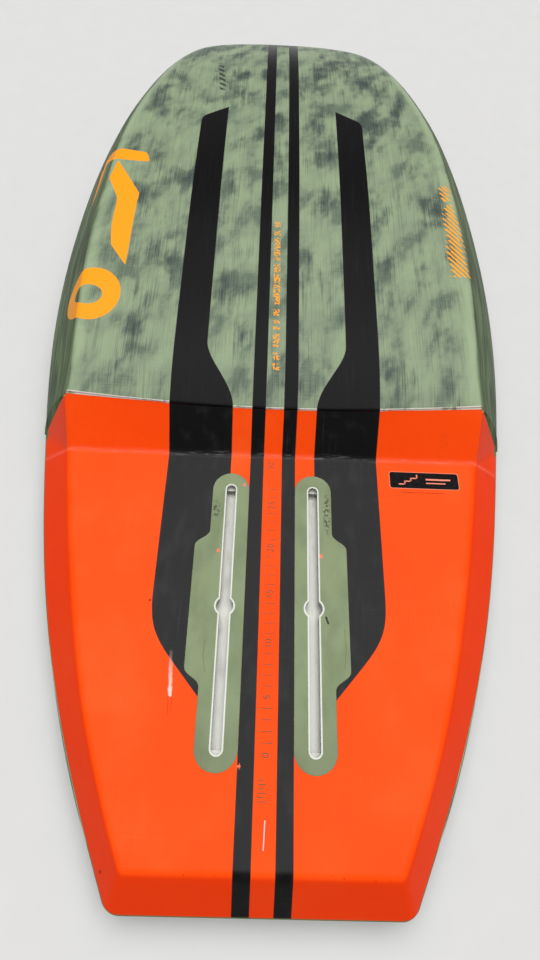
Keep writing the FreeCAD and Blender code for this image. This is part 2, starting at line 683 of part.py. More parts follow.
def half_plane(point, direction):
    """Everything on the side of a line that direction points to; it is cut square to the deck."""
    away = V(direction[0], direction[1], 0).normalize()
    box = Part.makeBox(4 * FAR, 4 * FAR, 4 * DECK, V(0, -2 * FAR, -DECK))
    box.Placement = FreeCAD.Placement(V(point[0], point[1], 0), FreeCAD.Rotation(V(1, 0, 0), away))
    return box


def deck_pads():
    """Flat pads with straight gaps between them; the strap inserts and the handle lie in the gaps.

    Returns {name: shape}. The gap through a pair of front inserts runs slantwise, in to the nose.
    """
    whole = pad_sheet()
    gap, screw = size("pad_gap") / 2, size("screw_gap") / 2
    split, clear = size("pad_split"), size("handle_clear")
    half_width = size("handle_width") / 2 + size("handle_flange") + clear
    half_length = size("handle_length") / 2 + size("handle_flange") + clear
    handle = size("handle_place")
    slant = V(OUTER_INSERT[1] - INNER_INSERT[1], INNER_INSERT[0] - OUTER_INSERT[0], 0).normalize() * -1

    def cut_out(*lines):
        piece = whole
        for point, direction in lines:
            piece = piece.common(half_plane(point, direction))
        corners = [edge for edge in piece.Edges
                   if len(edge.Vertexes) == 2
                   and abs(edge.Vertexes[0].Z - edge.Vertexes[1].Z) > DECK - 0.1]
        sharp = [edge for edge in corners if not smooth_corner(piece, edge)]
        return piece.makeFillet(size("pad_corner"), sharp)

    found = {}
    for name, side in zip(("left", "right"), MIRROR):
        out = (side * slant.x, slant.y)
        back = (-out[0], -out[1])
        insert = V(side * OUTER_INSERT[0], OUTER_INSERT[1], 0)
        past = insert + V(*out, 0) * screw
        short = insert - V(*out, 0) * screw
        found["deck_pad_outer_" + name] = cut_out((past, out), ((side * gap, 0), (side, 0)))
        found["deck_pad_side_" + name] = cut_out(
            (short, back), ((side * (half_width + gap / 2), 0), (side, 0)), ((0, split + gap), (0, 1)))
        found["deck_pad_rear_" + name] = cut_out(
            ((side * gap, 0), (side, 0)), ((0, split - gap), (0, -1)),
            ((0, REAR_INSERT[1] + screw), (0, 1)))
        found["deck_pad_tail_" + name] = cut_out(
            ((side * gap, 0), (side, 0)), ((0, REAR_INSERT[1] - screw), (0, -1)))
    found["deck_pad_middle"] = cut_out(
        ((half_width - gap * 1.5, 0), (-1, 0)), ((gap * 1.5 - half_width, 0), (1, 0)),
        ((0, split + gap), (0, 1)), ((0, handle - half_length), (0, -1)))
    crown = [((0, handle + half_length), (0, 1))]
    for side in MIRROR:
        out = V(side * slant.x, slant.y, 0)
        insert = V(side * OUTER_INSERT[0], OUTER_INSERT[1], 0)
        crown.append((insert - out * screw, (-out.x, -out.y)))
    found["deck_pad_crown"] = cut_out(*crown)
    return found


def smooth_corner(piece, edge):
    """Do the two faces that meet along an upright edge run on into each other?"""
    faces = [face for face in piece.Faces if any(edge.isSame(other) for other in face.Edges)]
    point = edge.Vertexes[0].Point
    normals = [face.normalAt(*face.Surface.parameter(point)) for face in faces]
    return len(normals) == 2 and abs(normals[0].dot(normals[1])) > 0.99


# ---------------------------------------------------------------- the assembly


def fitting_spaces():
    spaces = [handle_space(),
              round_space("leash_radius", "leash_flange", "leash_depth", 0, size("leash_place")),
              round_space("vent_radius", "vent_flange", "vent_depth", 0, size("vent_place"))]
    return spaces


def hull_parts():
    """The foam core in two lengths, and the laminate: the deck half, the front and the rear bottom."""
    outside = hull_solid(0, 0, 0)
    under_rear = hull_solid(0, 0, SKIN)
    core = hull_solid(SKIN, SKIN, SKIN, SKIN)
    rear_skin = outside.cut(under_rear)
    rest = under_rear.cut(core)
    upper_front = Part.makeBox(2 * FAR, 3 * FAR, FAR, V(-FAR, size("skin_split"), APEX))
    deck_skin = rest.cut(upper_front)
    front_skin = rest.common(upper_front)
    plates = []
    for side in MIRROR:
        outline = plate_outline(side)
        rear_skin = rear_skin.cut(outline)
        core = core.cut(block_space(side))
        plates.append(outline.cut(neck_space(side)))
    for space in fitting_spaces():
        deck_skin = deck_skin.cut(space)
        core = core.cut(space)
    for x, y in STRAP_INSERTS:
        deck_skin = deck_skin.cut(Part.makeCylinder(size("insert_radius"), 2 * DECK, V(x, y, 0)))
        core = core.cut(insert_block_space(x, y))
    slope = size("step_slope")
    joint = size("step_foot") + SKIN * math.sqrt(1 + slope * slope) / slope
    ahead = Part.makeBox(2 * FAR, 3 * FAR, FAR, V(-FAR, joint, 0))
    return core.common(ahead), core.cut(ahead), deck_skin, front_skin, rear_skin, plates


def build():
    core_front, core_rear, deck_skin, front_skin, rear_skin, plates = hull_parts()
    keep_shape("core_front", core_front)
    keep_shape("core_rear", core_rear)
    keep_shape("deck_skin", deck_skin)
    keep_shape("bottom_skin_front", front_skin)
    keep_shape("bottom_skin_rear", rear_skin)
    for name, side, plate in zip(("left", "right"), MIRROR, plates):
        foil_block("foil_block_" + name, side)
        track("track_" + name, side)
        keep_shape("track_plate_" + name, plate)
    handle_cup()
    handle_grip()
    leash_plug()
    vent_plug()
    keep_shape("strap_inserts", strap_inserts())
    keep_shape("insert_blocks", insert_blocks())
    for name, piece in deck_pads().items():
        keep_shape(name, piece)


def check_and_write():
    doc.recompute()
    for item in doc.Objects:
        for problem in ("Invalid", "Error"):
            if problem in item.State:
                raise RuntimeError("%s is %s" % (item.Label, problem))
    os.makedirs("parts", exist_ok=True)
    for item in SUBPARTS:
        if item.Shape.isNull() or not item.Shape.isValid():
            raise RuntimeError("%s has no valid shape" % item.Label)
        print("%-20s %d solids %9.1f cm3" % (item.Label, len(item.Shape.Solids), item.Shape.Volume / 1000))
        item.Shape.exportStep("parts/%s.step" % item.Label)


build()
check_and_write()
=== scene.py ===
"""Looks of a step-bottom foil board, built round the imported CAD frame.

The shapes are worked out in millimetres in the row frame (+X across, +Y to the nose, +Z out of the
bottom) and stored in metres.
"""
import math

import bmesh
import bpy
import numpy as np
from mathutils import Matrix, Vector


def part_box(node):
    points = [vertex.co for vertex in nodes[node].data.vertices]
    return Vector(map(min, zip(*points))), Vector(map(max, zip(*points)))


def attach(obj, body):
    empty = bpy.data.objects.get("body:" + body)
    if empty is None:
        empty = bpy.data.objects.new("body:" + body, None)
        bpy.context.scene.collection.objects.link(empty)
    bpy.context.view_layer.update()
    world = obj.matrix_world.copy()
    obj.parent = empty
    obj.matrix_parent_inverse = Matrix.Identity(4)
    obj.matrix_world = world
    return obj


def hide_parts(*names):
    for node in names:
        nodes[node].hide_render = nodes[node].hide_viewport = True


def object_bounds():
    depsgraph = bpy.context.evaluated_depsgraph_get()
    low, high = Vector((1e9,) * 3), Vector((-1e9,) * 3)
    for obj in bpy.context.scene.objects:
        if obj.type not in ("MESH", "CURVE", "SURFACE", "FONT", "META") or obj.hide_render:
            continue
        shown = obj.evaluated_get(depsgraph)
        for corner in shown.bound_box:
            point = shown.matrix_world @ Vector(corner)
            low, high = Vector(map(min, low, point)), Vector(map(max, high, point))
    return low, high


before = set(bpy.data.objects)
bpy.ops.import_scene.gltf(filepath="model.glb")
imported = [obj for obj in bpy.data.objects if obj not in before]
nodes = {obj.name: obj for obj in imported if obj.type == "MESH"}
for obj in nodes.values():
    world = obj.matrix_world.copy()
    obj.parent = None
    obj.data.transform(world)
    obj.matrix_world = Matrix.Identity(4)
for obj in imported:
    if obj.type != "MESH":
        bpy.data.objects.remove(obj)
cad_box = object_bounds()
MM = 0.001


def span(node):
    """A CAD node's lowest and highest corners, in millimetres."""
    low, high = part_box(node)
    return np.array(low) / MM, np.array(high) / MM


# ---- the hull's driving sizes

NOSE = cad_box[1].y / MM
TAIL = -NOSE
HALF_WIDTH = 295.0
DECK = span("deck_pad_middle")[1][2]
APEX = span("bottom_skin_front")[0][2]
REAR = span("track_left")[1][2]
FRONT = 128.0
SHELL = 1.5
PLATE_GAP = 0.25
CORE_GAP = 1.6
DECK_EDGE = 30.0
RAIL_INSET, RAIL_RISE, RAIL_POWER, RAIL_STEEPNESS = 56.0, 91.0, 1.3, 1.3
TAIL_CORNER, TAIL_BEVEL = 18.0, 32.0
STEP_FOOT, STEP_SLOPE = -225.0, 0.9
STEP_RUN = 46.5
STEP_TOP = np.array([234.0, STEP_FOOT + STEP_RUN, REAR + STEP_RUN * STEP_SLOPE])
STEP_WALL = np.array([272.0, STEP_FOOT + 35.5, APEX])
STEP_END = np.array([232.0, STEP_FOOT, REAR])
SLOPE_EASE, FOOT_EASE, BEVEL_EASE = 1.4, 3.0, 5.0

SIDE_LEAN = math.atan(0.466)
SIDE_FOOT = np.array([162.0, TAIL + 67])
OUTLINE = [(208, TAIL + 184), (243, TAIL + 311), (268, TAIL + 444), (286, TAIL + 568), (HALF_WIDTH, 40),
           (292.5, 172), (277.5, NOSE - 347), (237, NOSE - 194), (188, NOSE - 79), (160, NOSE - 40),
           (113, NOSE - 11.5)]
BOTTOM_STATIONS = [
    (-232, REAR + 16, 4.4), (-184.5, REAR + 37, 4.4), (-146, REAR + 49, 4), (-106, REAR + 54.5, 3.5),
    (0, FRONT - 5.5, 2.5), (138, FRONT, 1.5), (264, FRONT - 2.5, 0), (364, FRONT - 8.5, -2),
    (460, FRONT - 16, -5), (522, FRONT - 26, -9), (580, FRONT - 40, -13), (625, FRONT - 55, -17),
    (NOSE, FRONT - 74, -20), (NOSE + 40, FRONT - 102, -22)]
CREASE_REFERENCE = 233.0
BEVEL_STATIONS = [(-700, 85.2, 112.4), (-628.5, 118.5, 145.7), (-522.5, 162, 190.8),
                  (-376.5, 202, 236.6), (-225, 232, 267), (-120, 248, 283)]
NOSE_LIFT_START, NOSE_LIFT_END, NOSE_LIFT = 430.0, NOSE + 60, 18.0
STRAP_INSERTS = [(side * x, y) for x, y in ((165, -62), (78, 96), (88, -418)) for side in (-1, 1)]
INSERT_RADIUS = 6.5
MERGE = 0.02

# ---- curves


def cubic(xs, ys, first=None, last=None):
    """A cubic spline through (xs, ys) as a function; first and last are end slopes, or None if free."""
    n = len(xs)
    gap = np.diff(xs)
    slope = np.diff(ys) / gap
    matrix, right = np.zeros((n, n)), np.zeros(n)
    for i in range(1, n - 1):
        matrix[i, i - 1:i + 2] = gap[i - 1], 2 * (gap[i - 1] + gap[i]), gap[i]
        right[i] = 6 * (slope[i] - slope[i - 1])
    matrix[0, 0] = matrix[-1, -1] = 1
    if first is not None:
        matrix[0, :2] = 2 * gap[0], gap[0]
        right[0] = 6 * (slope[0] - first)
    if last is not None:
        matrix[-1, -2:] = gap[-1], 2 * gap[-1]
        right[-1] = 6 * (last - slope[-1])
    bend = np.linalg.solve(matrix, right)

    def value(x):
        i = np.clip(np.searchsorted(xs, x) - 1, 0, n - 2)
        a, b, h = xs[i + 1] - x, x - xs[i], gap[i]
        return (bend[i] * a ** 3 + bend[i + 1] * b ** 3) / (6 * h) + \
            (ys[i] / h - bend[i] * h / 6) * a + (ys[i + 1] / h - bend[i + 1] * h / 6) * b
    return value


def path_reach(points):
    """How far along a path each of its points lies."""
    return np.concatenate([[0], np.cumsum(np.linalg.norm(np.diff(points, axis=0), axis=1))])


def right_of(along):
    """Unit vectors that point to the right of these directions."""
    return np.stack([along[:, 1], -along[:, 0]], axis=1) / np.linalg.norm(along, axis=1)[:, None]


def on_line(place, places, line):
    """The points at these places of a plane line whose own points stand at places."""
    return np.stack([np.interp(place, places, line[:, k]) for k in (0, 1)], axis=-1)


def smooth_min(a, b, k):
    """The lower of two heights, rounded over where they come within k of each other."""
    blend = np.maximum(k - np.abs(a - b), 0) / k
    return np.minimum(a, b) - blend * blend * k / 4


LEAN = np.array([math.sin(SIDE_LEAN), math.cos(SIDE_LEAN)])
OUT_OF_LEAN = np.array([LEAN[1], -LEAN[0]])
TAIL_COUNT, ARC_COUNT, CURVE_COUNT = 40, 25, 1100


def side_curve(points):
    """The smooth curve up the right side to the nose through points: their reach, and its function."""
    reach = path_reach(points)
    across, along = (cubic(reach, points[:, k], LEAN[k], (-1, 0)[k]) for k in (0, 1))
    return reach, lambda at: np.stack([across(at), along(at)], axis=1)


def outline_guides():
    """The outline's guide points with their outward directions."""
    points = np.vstack([SIDE_FOOT, OUTLINE, (0, NOSE)])
    reach, curve = side_curve(points)
    along = curve(reach + 0.01) - curve(reach - 0.01)
    along[-1] = (-1, 0)
    return points, right_of(along)


GUIDES, GUIDE_NORMALS = outline_guides()


def plan_outline(inset):
    """The right half of the plan outline drawn in by inset, from the tail's middle to the nose."""
    tail_y = TAIL + inset
    side = SIDE_FOOT - OUT_OF_LEAN * (inset + TAIL_CORNER)
    centre = side + LEAN * ((tail_y + TAIL_CORNER - side[1]) / LEAN[1])
    turn = np.linspace(-math.pi / 2, -SIDE_LEAN, ARC_COUNT)
    arc = centre + TAIL_CORNER * np.stack([np.cos(turn), np.sin(turn)], axis=1)
    tail = np.stack([np.linspace(0, centre[0], TAIL_COUNT), np.full(TAIL_COUNT, tail_y)], axis=1)
    reach, curve = side_curve(np.vstack([arc[-1:], GUIDES - GUIDE_NORMALS * inset]))
    flank = curve(np.linspace(0, reach[-1], CURVE_COUNT))
    flank[-1, 0] = 0
    return np.vstack([tail, arc[1:], flank[1:]])


EDGE = plan_outline(0.0)
EDGE_REACH = path_reach(EDGE)

EDGE_ALONG = np.gradient(EDGE, axis=0)
EDGE_ALONG[0], EDGE_ALONG[-1] = (1, 0), (-1, 0)
EDGE_INWARD = -right_of(EDGE_ALONG)
CHUNK = 4000


def edge_distance(x, y):
    """How far points lie inside the plan outline."""
    flat = np.stack([np.abs(np.ravel(x)), np.ravel(y)], axis=1)
    found = []
    for part in np.array_split(flat, len(flat) // CHUNK + 1):
        apart = part[:, None, :] - EDGE[None, :, :]
        near = np.argmin((apart ** 2).sum(axis=2), axis=1)
        chosen = apart[np.arange(len(part)), near]
        found.append((chosen * EDGE_INWARD[near]).sum(axis=1))
    return np.maximum(np.concatenate(found), 0).reshape(np.shape(x))


# ---- the hull's surfaces

bottom_y, *bottoms = np.array(BOTTOM_STATIONS, float).T
centre_height, hollow = (cubic(bottom_y, numbers) for numbers in bottoms)
bevel_y, *bevels = np.array(BEVEL_STATIONS, float).T
flat_half, bevel_half = (cubic(bevel_y, numbers) for numbers in bevels)


def bottom_height(x, y):
    return centre_height(y) + hollow(y) * (x / CREASE_REFERENCE) ** 2


def rail_height(inside):
    return APEX + RAIL_RISE * (np.maximum(inside, 0) / RAIL_INSET) ** (1 / RAIL_POWER)


def slope_height(y):
    return REAR + STEP_SLOPE * (y - STEP_FOOT)


def facet_height(x, y):
    """The small facet between the step's slope and the side bevel."""
    normal = np.cross(STEP_TOP - STEP_END, STEP_WALL - STEP_END)
    return STEP_END[2] - (normal[0] * (np.abs(x) - STEP_END[0]) + normal[1] * (y - STEP_END[1])) / normal[2]


def crease_softness(y):
    """The bottom's edge is crisp by the step and rolls over softly at the nose."""
    return np.interp(y, [-180, -60, 150, 420, 640], [2.5, 5, 12, 26, 34])


def top_height(x, y, inside):
    rail = rail_height(inside)
    front = smooth_min(bottom_height(x, y), rail, crease_softness(y) * np.clip(inside / 12, 0.05, 1))
    ahead = smooth_min(front, slope_height(y), SLOPE_EASE)
    ahead = smooth_min(ahead, facet_height(x, y), BEVEL_EASE)
    tail_bevel = REAR + (y - TAIL - TAIL_BEVEL) * (REAR - APEX) / TAIL_BEVEL
    run = bevel_half(y) - flat_half(y)
    side_bevel = REAR - (REAR - APEX) * (x - flat_half(y)) / run
    behind = smooth_min(np.full(np.shape(x), REAR), tail_bevel, BEVEL_EASE)
    behind = smooth_min(behind, side_bevel, BEVEL_EASE)
    return np.minimum(-smooth_min(-ahead, -behind, FOOT_EASE), rail)


def deck_height(y):
    t = np.clip((y - NOSE_LIFT_START) / (NOSE_LIFT_END - NOSE_LIFT_START), 0, None)
    return DECK + NOSE_LIFT * t * t


# ---- meshes

CRISP = math.radians(50)
OPENING_REACH, RING_COUNT = 5.0, 64


def placed(name, data):
    """A new object in the scene."""
    thing = bpy.data.objects.new(name, data)
    bpy.context.scene.collection.objects.link(thing)
    return thing


def hull_piece(name, data):
    """A new piece that rides on the hull."""
    piece = placed(name, data)
    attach(piece, "hull")
    return piece


def poured(shape, mesh):
    """Empties a bmesh into a mesh."""
    shape.to_mesh(mesh)
    shape.free()
    return mesh


def mesh_from(name, points, faces, closed=False):
    """A mesh of points in millimetres; points that fall together are joined."""
    mesh = bpy.data.meshes.new(name)
    mesh.from_pydata((points * MM).tolist(), [], faces)
    shape = bmesh.new()
    shape.from_mesh(mesh)
    bmesh.ops.remove_doubles(shape, verts=shape.verts, dist=MERGE * MM)
    if closed:
        bmesh.ops.recalc_face_normals(shape, faces=shape.faces)
    else:
        bmesh.ops.dissolve_degenerate(shape, dist=MERGE / 2 * MM, edges=shape.edges)
    return poured(shape, mesh)


def lifted(loop, low, high):
    """A bmesh of the upright prism over a loop of (x, y) points."""
    shape = bmesh.new()
    base = shape.faces.new([shape.verts.new(Vector((x, y, low)) * MM) for x, y in loop])
    raised = bmesh.ops.extrude_face_region(shape, geom=[base])["geom"]
    moved = [v for v in raised if isinstance(v, bmesh.types.BMVert)]
    bmesh.ops.translate(shape, vec=(0, 0, (high - low) * MM), verts=moved)
    bmesh.ops.recalc_face_normals(shape, faces=shape.faces)
    return shape


def grid_faces(rows, columns, offset=0, flip=False):
    corners = (offset + r * columns + c for r in range(rows - 1) for c in range(columns - 1))
    return [(a, a + 1, a + columns + 1, a + columns)[::-1 if flip else 1] for a in corners]


def mirrored_sheet(name, grid, up=True):
    """A laminate from its right half, a grid of rows that start on the centreline."""
    rows, columns = grid.shape[:2]
    right = grid.reshape(-1, 3)
    left = right * (-1, 1, 1)
    faces = grid_faces(rows, columns, 0, not up) + grid_faces(rows, columns, len(right), up)
    piece = hull_piece(name, mesh_from(name, np.vstack([right, left]), faces))
    laminate = piece.modifiers.new("laminate", "SOLIDIFY")
    laminate.thickness = SHELL * MM
    laminate.offset = -1
    return piece


def settle(piece, cutters=()):
    """Applies a piece's modifiers and cuts the cutters' shapes out of it."""
    for cutter in cutters:
        cut = piece.modifiers.new("cut", "BOOLEAN")
        cut.operation = "DIFFERENCE"
        cut.solver = "EXACT"
        cut.object = cutter
    bpy.context.view_layer.update()
    graph = bpy.context.evaluated_depsgraph_get()
    mesh = bpy.data.meshes.new_from_object(piece.evaluated_get(graph))
    piece.modifiers.clear()
    piece.data = mesh
    mesh.shade_smooth()
    mesh.set_sharp_from_angle(angle=CRISP)
    for cutter in cutters:
        bpy.data.objects.remove(cutter)


def outer_loop(node, height):
    """The longest boundary loop, as (x, y) points, of a CAD node's faces that lie at one height."""
    mesh = nodes[node].data
    spots = [tuple(np.round(v.co / MM, 3)) for v in mesh.vertices]
    level = [f for f in mesh.polygons if all(abs(spots[v][2] - height) < MERGE for v in f.vertices)]
    sides = {}
    for a, b in (key for face in level for key in face.edge_keys):
        ends = tuple(sorted((spots[a][:2], spots[b][:2])))
        sides[ends] = sides.get(ends, 0) + 1
    follow = {}
    for (a, b), count in sides.items():
        if count == 1 and a != b:
            follow.setdefault(a, []).append(b)
            follow.setdefault(b, []).append(a)
    loops, seen = [], set()
    for start in follow:
        if start in seen:
            continue
        loop, here = [], start
        while here is not None:
            seen.add(here)
            loop.append(here)
            here = next((p for p in follow[here] if p not in seen), None)
        loops.append(np.array(loop))
    return max(loops, key=lambda p: np.ptp(p[:, 0]) + np.ptp(p[:, 1]))


def grown(loop, by):
    """A closed loop of (x, y) points moved outwards."""
    before, after = np.roll(loop, 1, axis=0), np.roll(loop, -1, axis=0)
    area = np.sum(loop[:, 0] * after[:, 1] - after[:, 0] * loop[:, 1])
    return loop + right_of(after - before) * by * np.sign(area)


def opening(loop, height):
    """A cutter over a loop of (x, y) points that reaches through the laminate at this height."""
    shape = lifted(loop, height - OPENING_REACH, height + OPENING_REACH)
    return placed("opening", poured(shape, bpy.data.meshes.new("opening")))


def ring(x, y, radius):
    turns = np.arange(RING_COUNT) * 2 * math.pi / RING_COUNT
    return np.stack([x + radius * np.cos(turns), y + radius * np.sin(turns)], axis=1)


# ---- the hull's grid


def graded(start, end, near_start, near_end, step):
    """Places from start to end: close together at the ends by these lists, then step apart."""
    low = [start] + [start + d for d in near_start]
    high = [end] + [end - d for d in near_end]
    count = max(math.ceil((high[-1] - low[-1]) / step), 1)
    places = [*low, *high, *np.linspace(low[-1], high[-1], count + 1)]
    return np.unique(np.round([p for p in places if start <= p <= end], 4))


FINE, NOSE_FINE = [0.8, 1.6, 2.4, 3.4, 4.6, 6, 8, 10.5, 14], [3, 7]
CREASE_PASSES, STEP_PASSES, STEP_STRIDE = 40, 30, 3
SAG, SAG_FADE, STEP_FADE, SIDE_UP_TO = 5.9, 70, 150, 450
FAN_Y, FAN_SPINE, TAIL_SPINE = 120, 480, (-600, -588)
BEHIND_FROM, BEHIND_CORNER, BEHIND_SPINE = -470, -560, -549
DECK_STRAIGHT, DECK_SPINE_TAIL, DECK_SPINE_NOSE = (TAIL + 150, 150), TAIL + 90, 470


def reach_at_y(y):
    """How far along the outline, from the tail's middle, the right side reaches y."""
    return np.interp(y, EDGE[TAIL_COUNT:, 1], EDGE_REACH[TAIL_COUNT:])


CORNER = EDGE_REACH[TAIL_COUNT + ARC_COUNT // 2]
FOOT = reach_at_y(STEP_FOOT)
STEP = reach_at_y(STEP_WALL[1])
END = EDGE_REACH[-1]


def bottom_crease():
    """Where the front bottom meets the rail, for each point of the outline ahead of the step."""
    chosen = EDGE_REACH > STEP - 40
    low, high = np.zeros(chosen.sum()), np.full(chosen.sum(), 90.0)
    for _ in range(CREASE_PASSES):
        middle = (low + high) / 2
        at = EDGE[chosen] + EDGE_INWARD[chosen] * middle[:, None]
        above = rail_height(middle) > bottom_height(at[:, 0], at[:, 1])
        low, high = np.where(above, low, middle), np.where(above, middle, high)
    at[-1, 0] = 0
    return EDGE_REACH[chosen], at


def row_guides(reach):
    """For rows that start at these places on the outline: their edge, crease and spine points."""
    edge = on_line(reach, EDGE_REACH, EDGE)
    crease = np.zeros_like(edge)
    tail_crease = TAIL + TAIL_BEVEL
    corner_y = on_line(CORNER, EDGE_REACH, EDGE)[1]
    at_tail = reach <= CORNER
    crease[at_tail, 0] = flat_half(tail_crease) * reach[at_tail] / CORNER
    crease[at_tail, 1] = tail_crease
    at_side = (reach > CORNER) & (reach <= FOOT)
    side_y = np.interp(edge[at_side, 1], [corner_y, BEHIND_CORNER, STEP_FOOT],
                       [tail_crease, BEHIND_CORNER, STEP_FOOT])
    crease[at_side, 0], crease[at_side, 1] = flat_half(side_y), side_y
    at_step = (reach > FOOT) & (reach <= STEP)
    share = ((reach[at_step] - FOOT) / (STEP - FOOT))[:, None]
    crease[at_step] = STEP_END[:2] + (STEP_TOP[:2] - STEP_END[:2]) * share
    at_front = reach > STEP
    known, natural = bottom_crease()
    start = on_line(STEP, known, natural)
    t = np.clip((reach[at_front] - STEP) / STEP_FADE, 0, 1)
    fade = 1 - t * t * (3 - 2 * t)
    free = on_line(reach[at_front], known, natural)
    y = free[:, 1] + (STEP_TOP[1] - start[1]) * fade
    side = natural[natural[:, 1] < SIDE_UP_TO]
    shifted_x = np.interp(y, side[:, 1], side[:, 0])
    start_x = np.interp(STEP_TOP[1], side[:, 1], side[:, 0])
    crease[at_front, 0] = np.where(fade > 0, shifted_x, free[:, 0]) + (STEP_TOP[0] - start_x) * fade
    crease[at_front, 1] = y
    spine = crease[:, 1] - SAG * np.interp(reach, [FOOT, STEP, STEP + SAG_FADE], [0, 1, 0])
    fan = reach_at_y(FAN_Y)
    at_nose = reach > fan
    spine[at_nose] = np.interp(reach[at_nose], [fan, END], [np.interp(fan, reach, spine), FAN_SPINE])
    spine[at_tail] = np.interp(reach[at_tail], [0, CORNER], TAIL_SPINE)
    behind = at_side & (edge[:, 1] < BEHIND_FROM)
    spine[behind] = np.interp(edge[behind, 1], [corner_y, BEHIND_CORNER, BEHIND_FROM],
                              [TAIL_SPINE[1], BEHIND_SPINE, BEHIND_FROM])
    return edge, crease, spine


def step_edge_points(x, y):
    """Moves points of the step's top edge on to the line where the slope meets what is ahead."""
    for _ in range(STEP_PASSES):
        inside = edge_distance(x, y)
        ahead = np.minimum(bottom_height(x, y), rail_height(inside))
        roof = np.minimum(slope_height(y), facet_height(x, y))
        y = y + np.clip((ahead - roof) / (STEP_SLOPE * 1.5), -STEP_STRIDE, STEP_STRIDE)
    return y


def top_grid(reach):
    """The bottom's right half, one row for each place on the outline, and the step's top edge's row."""
    edge, crease, spine = row_guides(reach)
    near = 1 - np.array([0.004, 0.008, 0.013, 0.02, 0.028, 0.038, 0.05, 0.07, 0.1])
    inner = np.unique(np.concatenate([np.linspace(0, 0.88, 24), near, [1.0]]))
    outer = np.array([.02, .04, .065, .09, .12, .16, .21, .28, .36, .45, .54, .63, .72, .8, .87, .92, .96,
                      .985, 1])
    run = edge - crease
    x = np.hstack([crease[:, :1] * inner, crease[:, :1] + run[:, :1] * outer])
    y = np.hstack([spine[:, None] + (crease[:, 1] - spine)[:, None] * inner ** 2,
                   crease[:, 1:] + run[:, 1:] * outer])
    step_row = np.argmin(np.abs(reach - STEP))
    y[step_row, :-1] = step_edge_points(x[step_row, :-1], y[step_row, :-1])
    inside = edge_distance(x, y)
    inside[:, -1] = 0
    z = top_height(x, y, inside)
    z[:, -1] = APEX
    return np.stack([x, y, z], axis=2), step_row


def annotate(piece, step_edge):
    """Stores at each point how far it is in from the outline and the front bottom's crease, and
    ahead of the step's top edge, in millimetres: the paint follows these."""
    spots = np.empty(len(piece.data.vertices) * 3)
    piece.data.vertices.foreach_get("co", spots)
    x, y, _ = spots.reshape(-1, 3).T / MM
    inside = edge_distance(x, y)
    notes = {"from_edge": inside,
             "from_crease": (rail_height(inside) - bottom_height(x, y)) / RAIL_STEEPNESS,
             "from_step": y - np.interp(np.abs(x), step_edge[:, 0], step_edge[:, 1])}
    for name, numbers in notes.items():
        layer = piece.data.attributes.new(name, "FLOAT", "POINT")
        layer.data.foreach_set("value", numbers.astype(np.float32))


def hull_top():
    reach = np.unique(np.concatenate([
        graded(0, CORNER, [4], FINE, 9), graded(CORNER, FOOT, FINE, FINE, 7),
        graded(FOOT, STEP, FINE, FINE, 3), graded(STEP, END, FINE, NOSE_FINE, 6.5)]))
    grid, step_row = top_grid(reach)
    rear = mirrored_sheet("hull_rear", grid[:step_row + 1])
    front = mirrored_sheet("hull_front", grid[step_row:])
    settle(rear, [opening(grown(outer_loop(node, REAR), PLATE_GAP), REAR)
                  for node in ("track_plate_left", "track_plate_right")])
    settle(front)
    annotate(rear, grid[step_row])
    annotate(front, grid[step_row])
    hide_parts("bottom_skin_rear")
    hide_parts("bottom_skin_front")
    return rear, front, reach


def deck_grid(reach):
    """The deck's right half, which faces down, from the centreline out to the widest line."""
    rows = []
    for turn in np.linspace(0, math.pi / 2, 13):
        at = on_line(reach, EDGE_REACH, plan_outline(DECK_EDGE * (1 - math.cos(turn))))
        z = APEX - (APEX - DECK) * math.sin(turn)
        rows.append(np.column_stack([at, np.maximum(z, deck_height(at[:, 1]))]))
    inner = rows[-1]
    spine_y = np.interp(inner[:, 1], [TAIL + DECK_EDGE, *DECK_STRAIGHT, NOSE - DECK_EDGE],
                        [DECK_SPINE_TAIL, *DECK_STRAIGHT, DECK_SPINE_NOSE])
    spine = np.stack([np.zeros(len(inner)), spine_y], axis=1)
    for share in (0.06, 0.2, 0.45, 0.72, 1.0):
        at = inner[:, :2] * (1 - share) + spine * share
        rows.append(np.column_stack([at, deck_height(at[:, 1])]))
    return np.stack(rows[::-1], axis=1)


def hull_deck(reach):
    deck = mirrored_sheet("deck_shell", deck_grid(np.append(reach[:-1:2], reach[-1])), False)
    loops = [grown(outer_loop("handle_cup", DECK), PLATE_GAP)]
    for node in ("leash_cup", "vent_housing"):
        near, far = span(node)
        loops.append(ring(*((near + far) / 2)[:2], (far - near)[0] / 2 + PLATE_GAP))
    loops += [ring(x, y, INSERT_RADIUS + PLATE_GAP) for x, y in STRAP_INSERTS]
    settle(deck, [opening(loop, DECK) for loop in loops])
    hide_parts("deck_skin")
    return deck


# ---- material nodes


def operator(operation):
    return lambda *values: values[0].look.math(operation, *values)


class Value:
    """A number or colour that a node gives; arithmetic with it adds nodes."""

    __add__, __sub__, __mul__ = operator("ADD"), operator("SUBTRACT"), operator("MULTIPLY")
    __abs__, __and__, __or__ = operator("ABSOLUTE"), operator("MAXIMUM"), operator("MINIMUM")

    def __init__(self, look, socket):
        self.look, self.socket = look, socket


class Nodes:
    """A tree that nodes are added to."""

    def __init__(self, tree):
        self.tree = tree

    def join(self, socket, value):
        if isinstance(value, Value):
            self.tree.links.new(value.socket, socket)
        elif isinstance(value, tuple) and socket.type == "RGBA":
            socket.default_value = (*value, 1)
        else:
            socket.default_value = value

    def node(self, kind, inputs, output=0, **settings):
        """What a new node gives, with its settings and inputs."""
        made = self.tree.nodes.new("ShaderNode" + kind)
        for name, setting in settings.items():
            setattr(made, name, setting)
        for socket, value in inputs.items():
            self.join(made.inputs[socket], value)
        return Value(self, made.outputs[output])


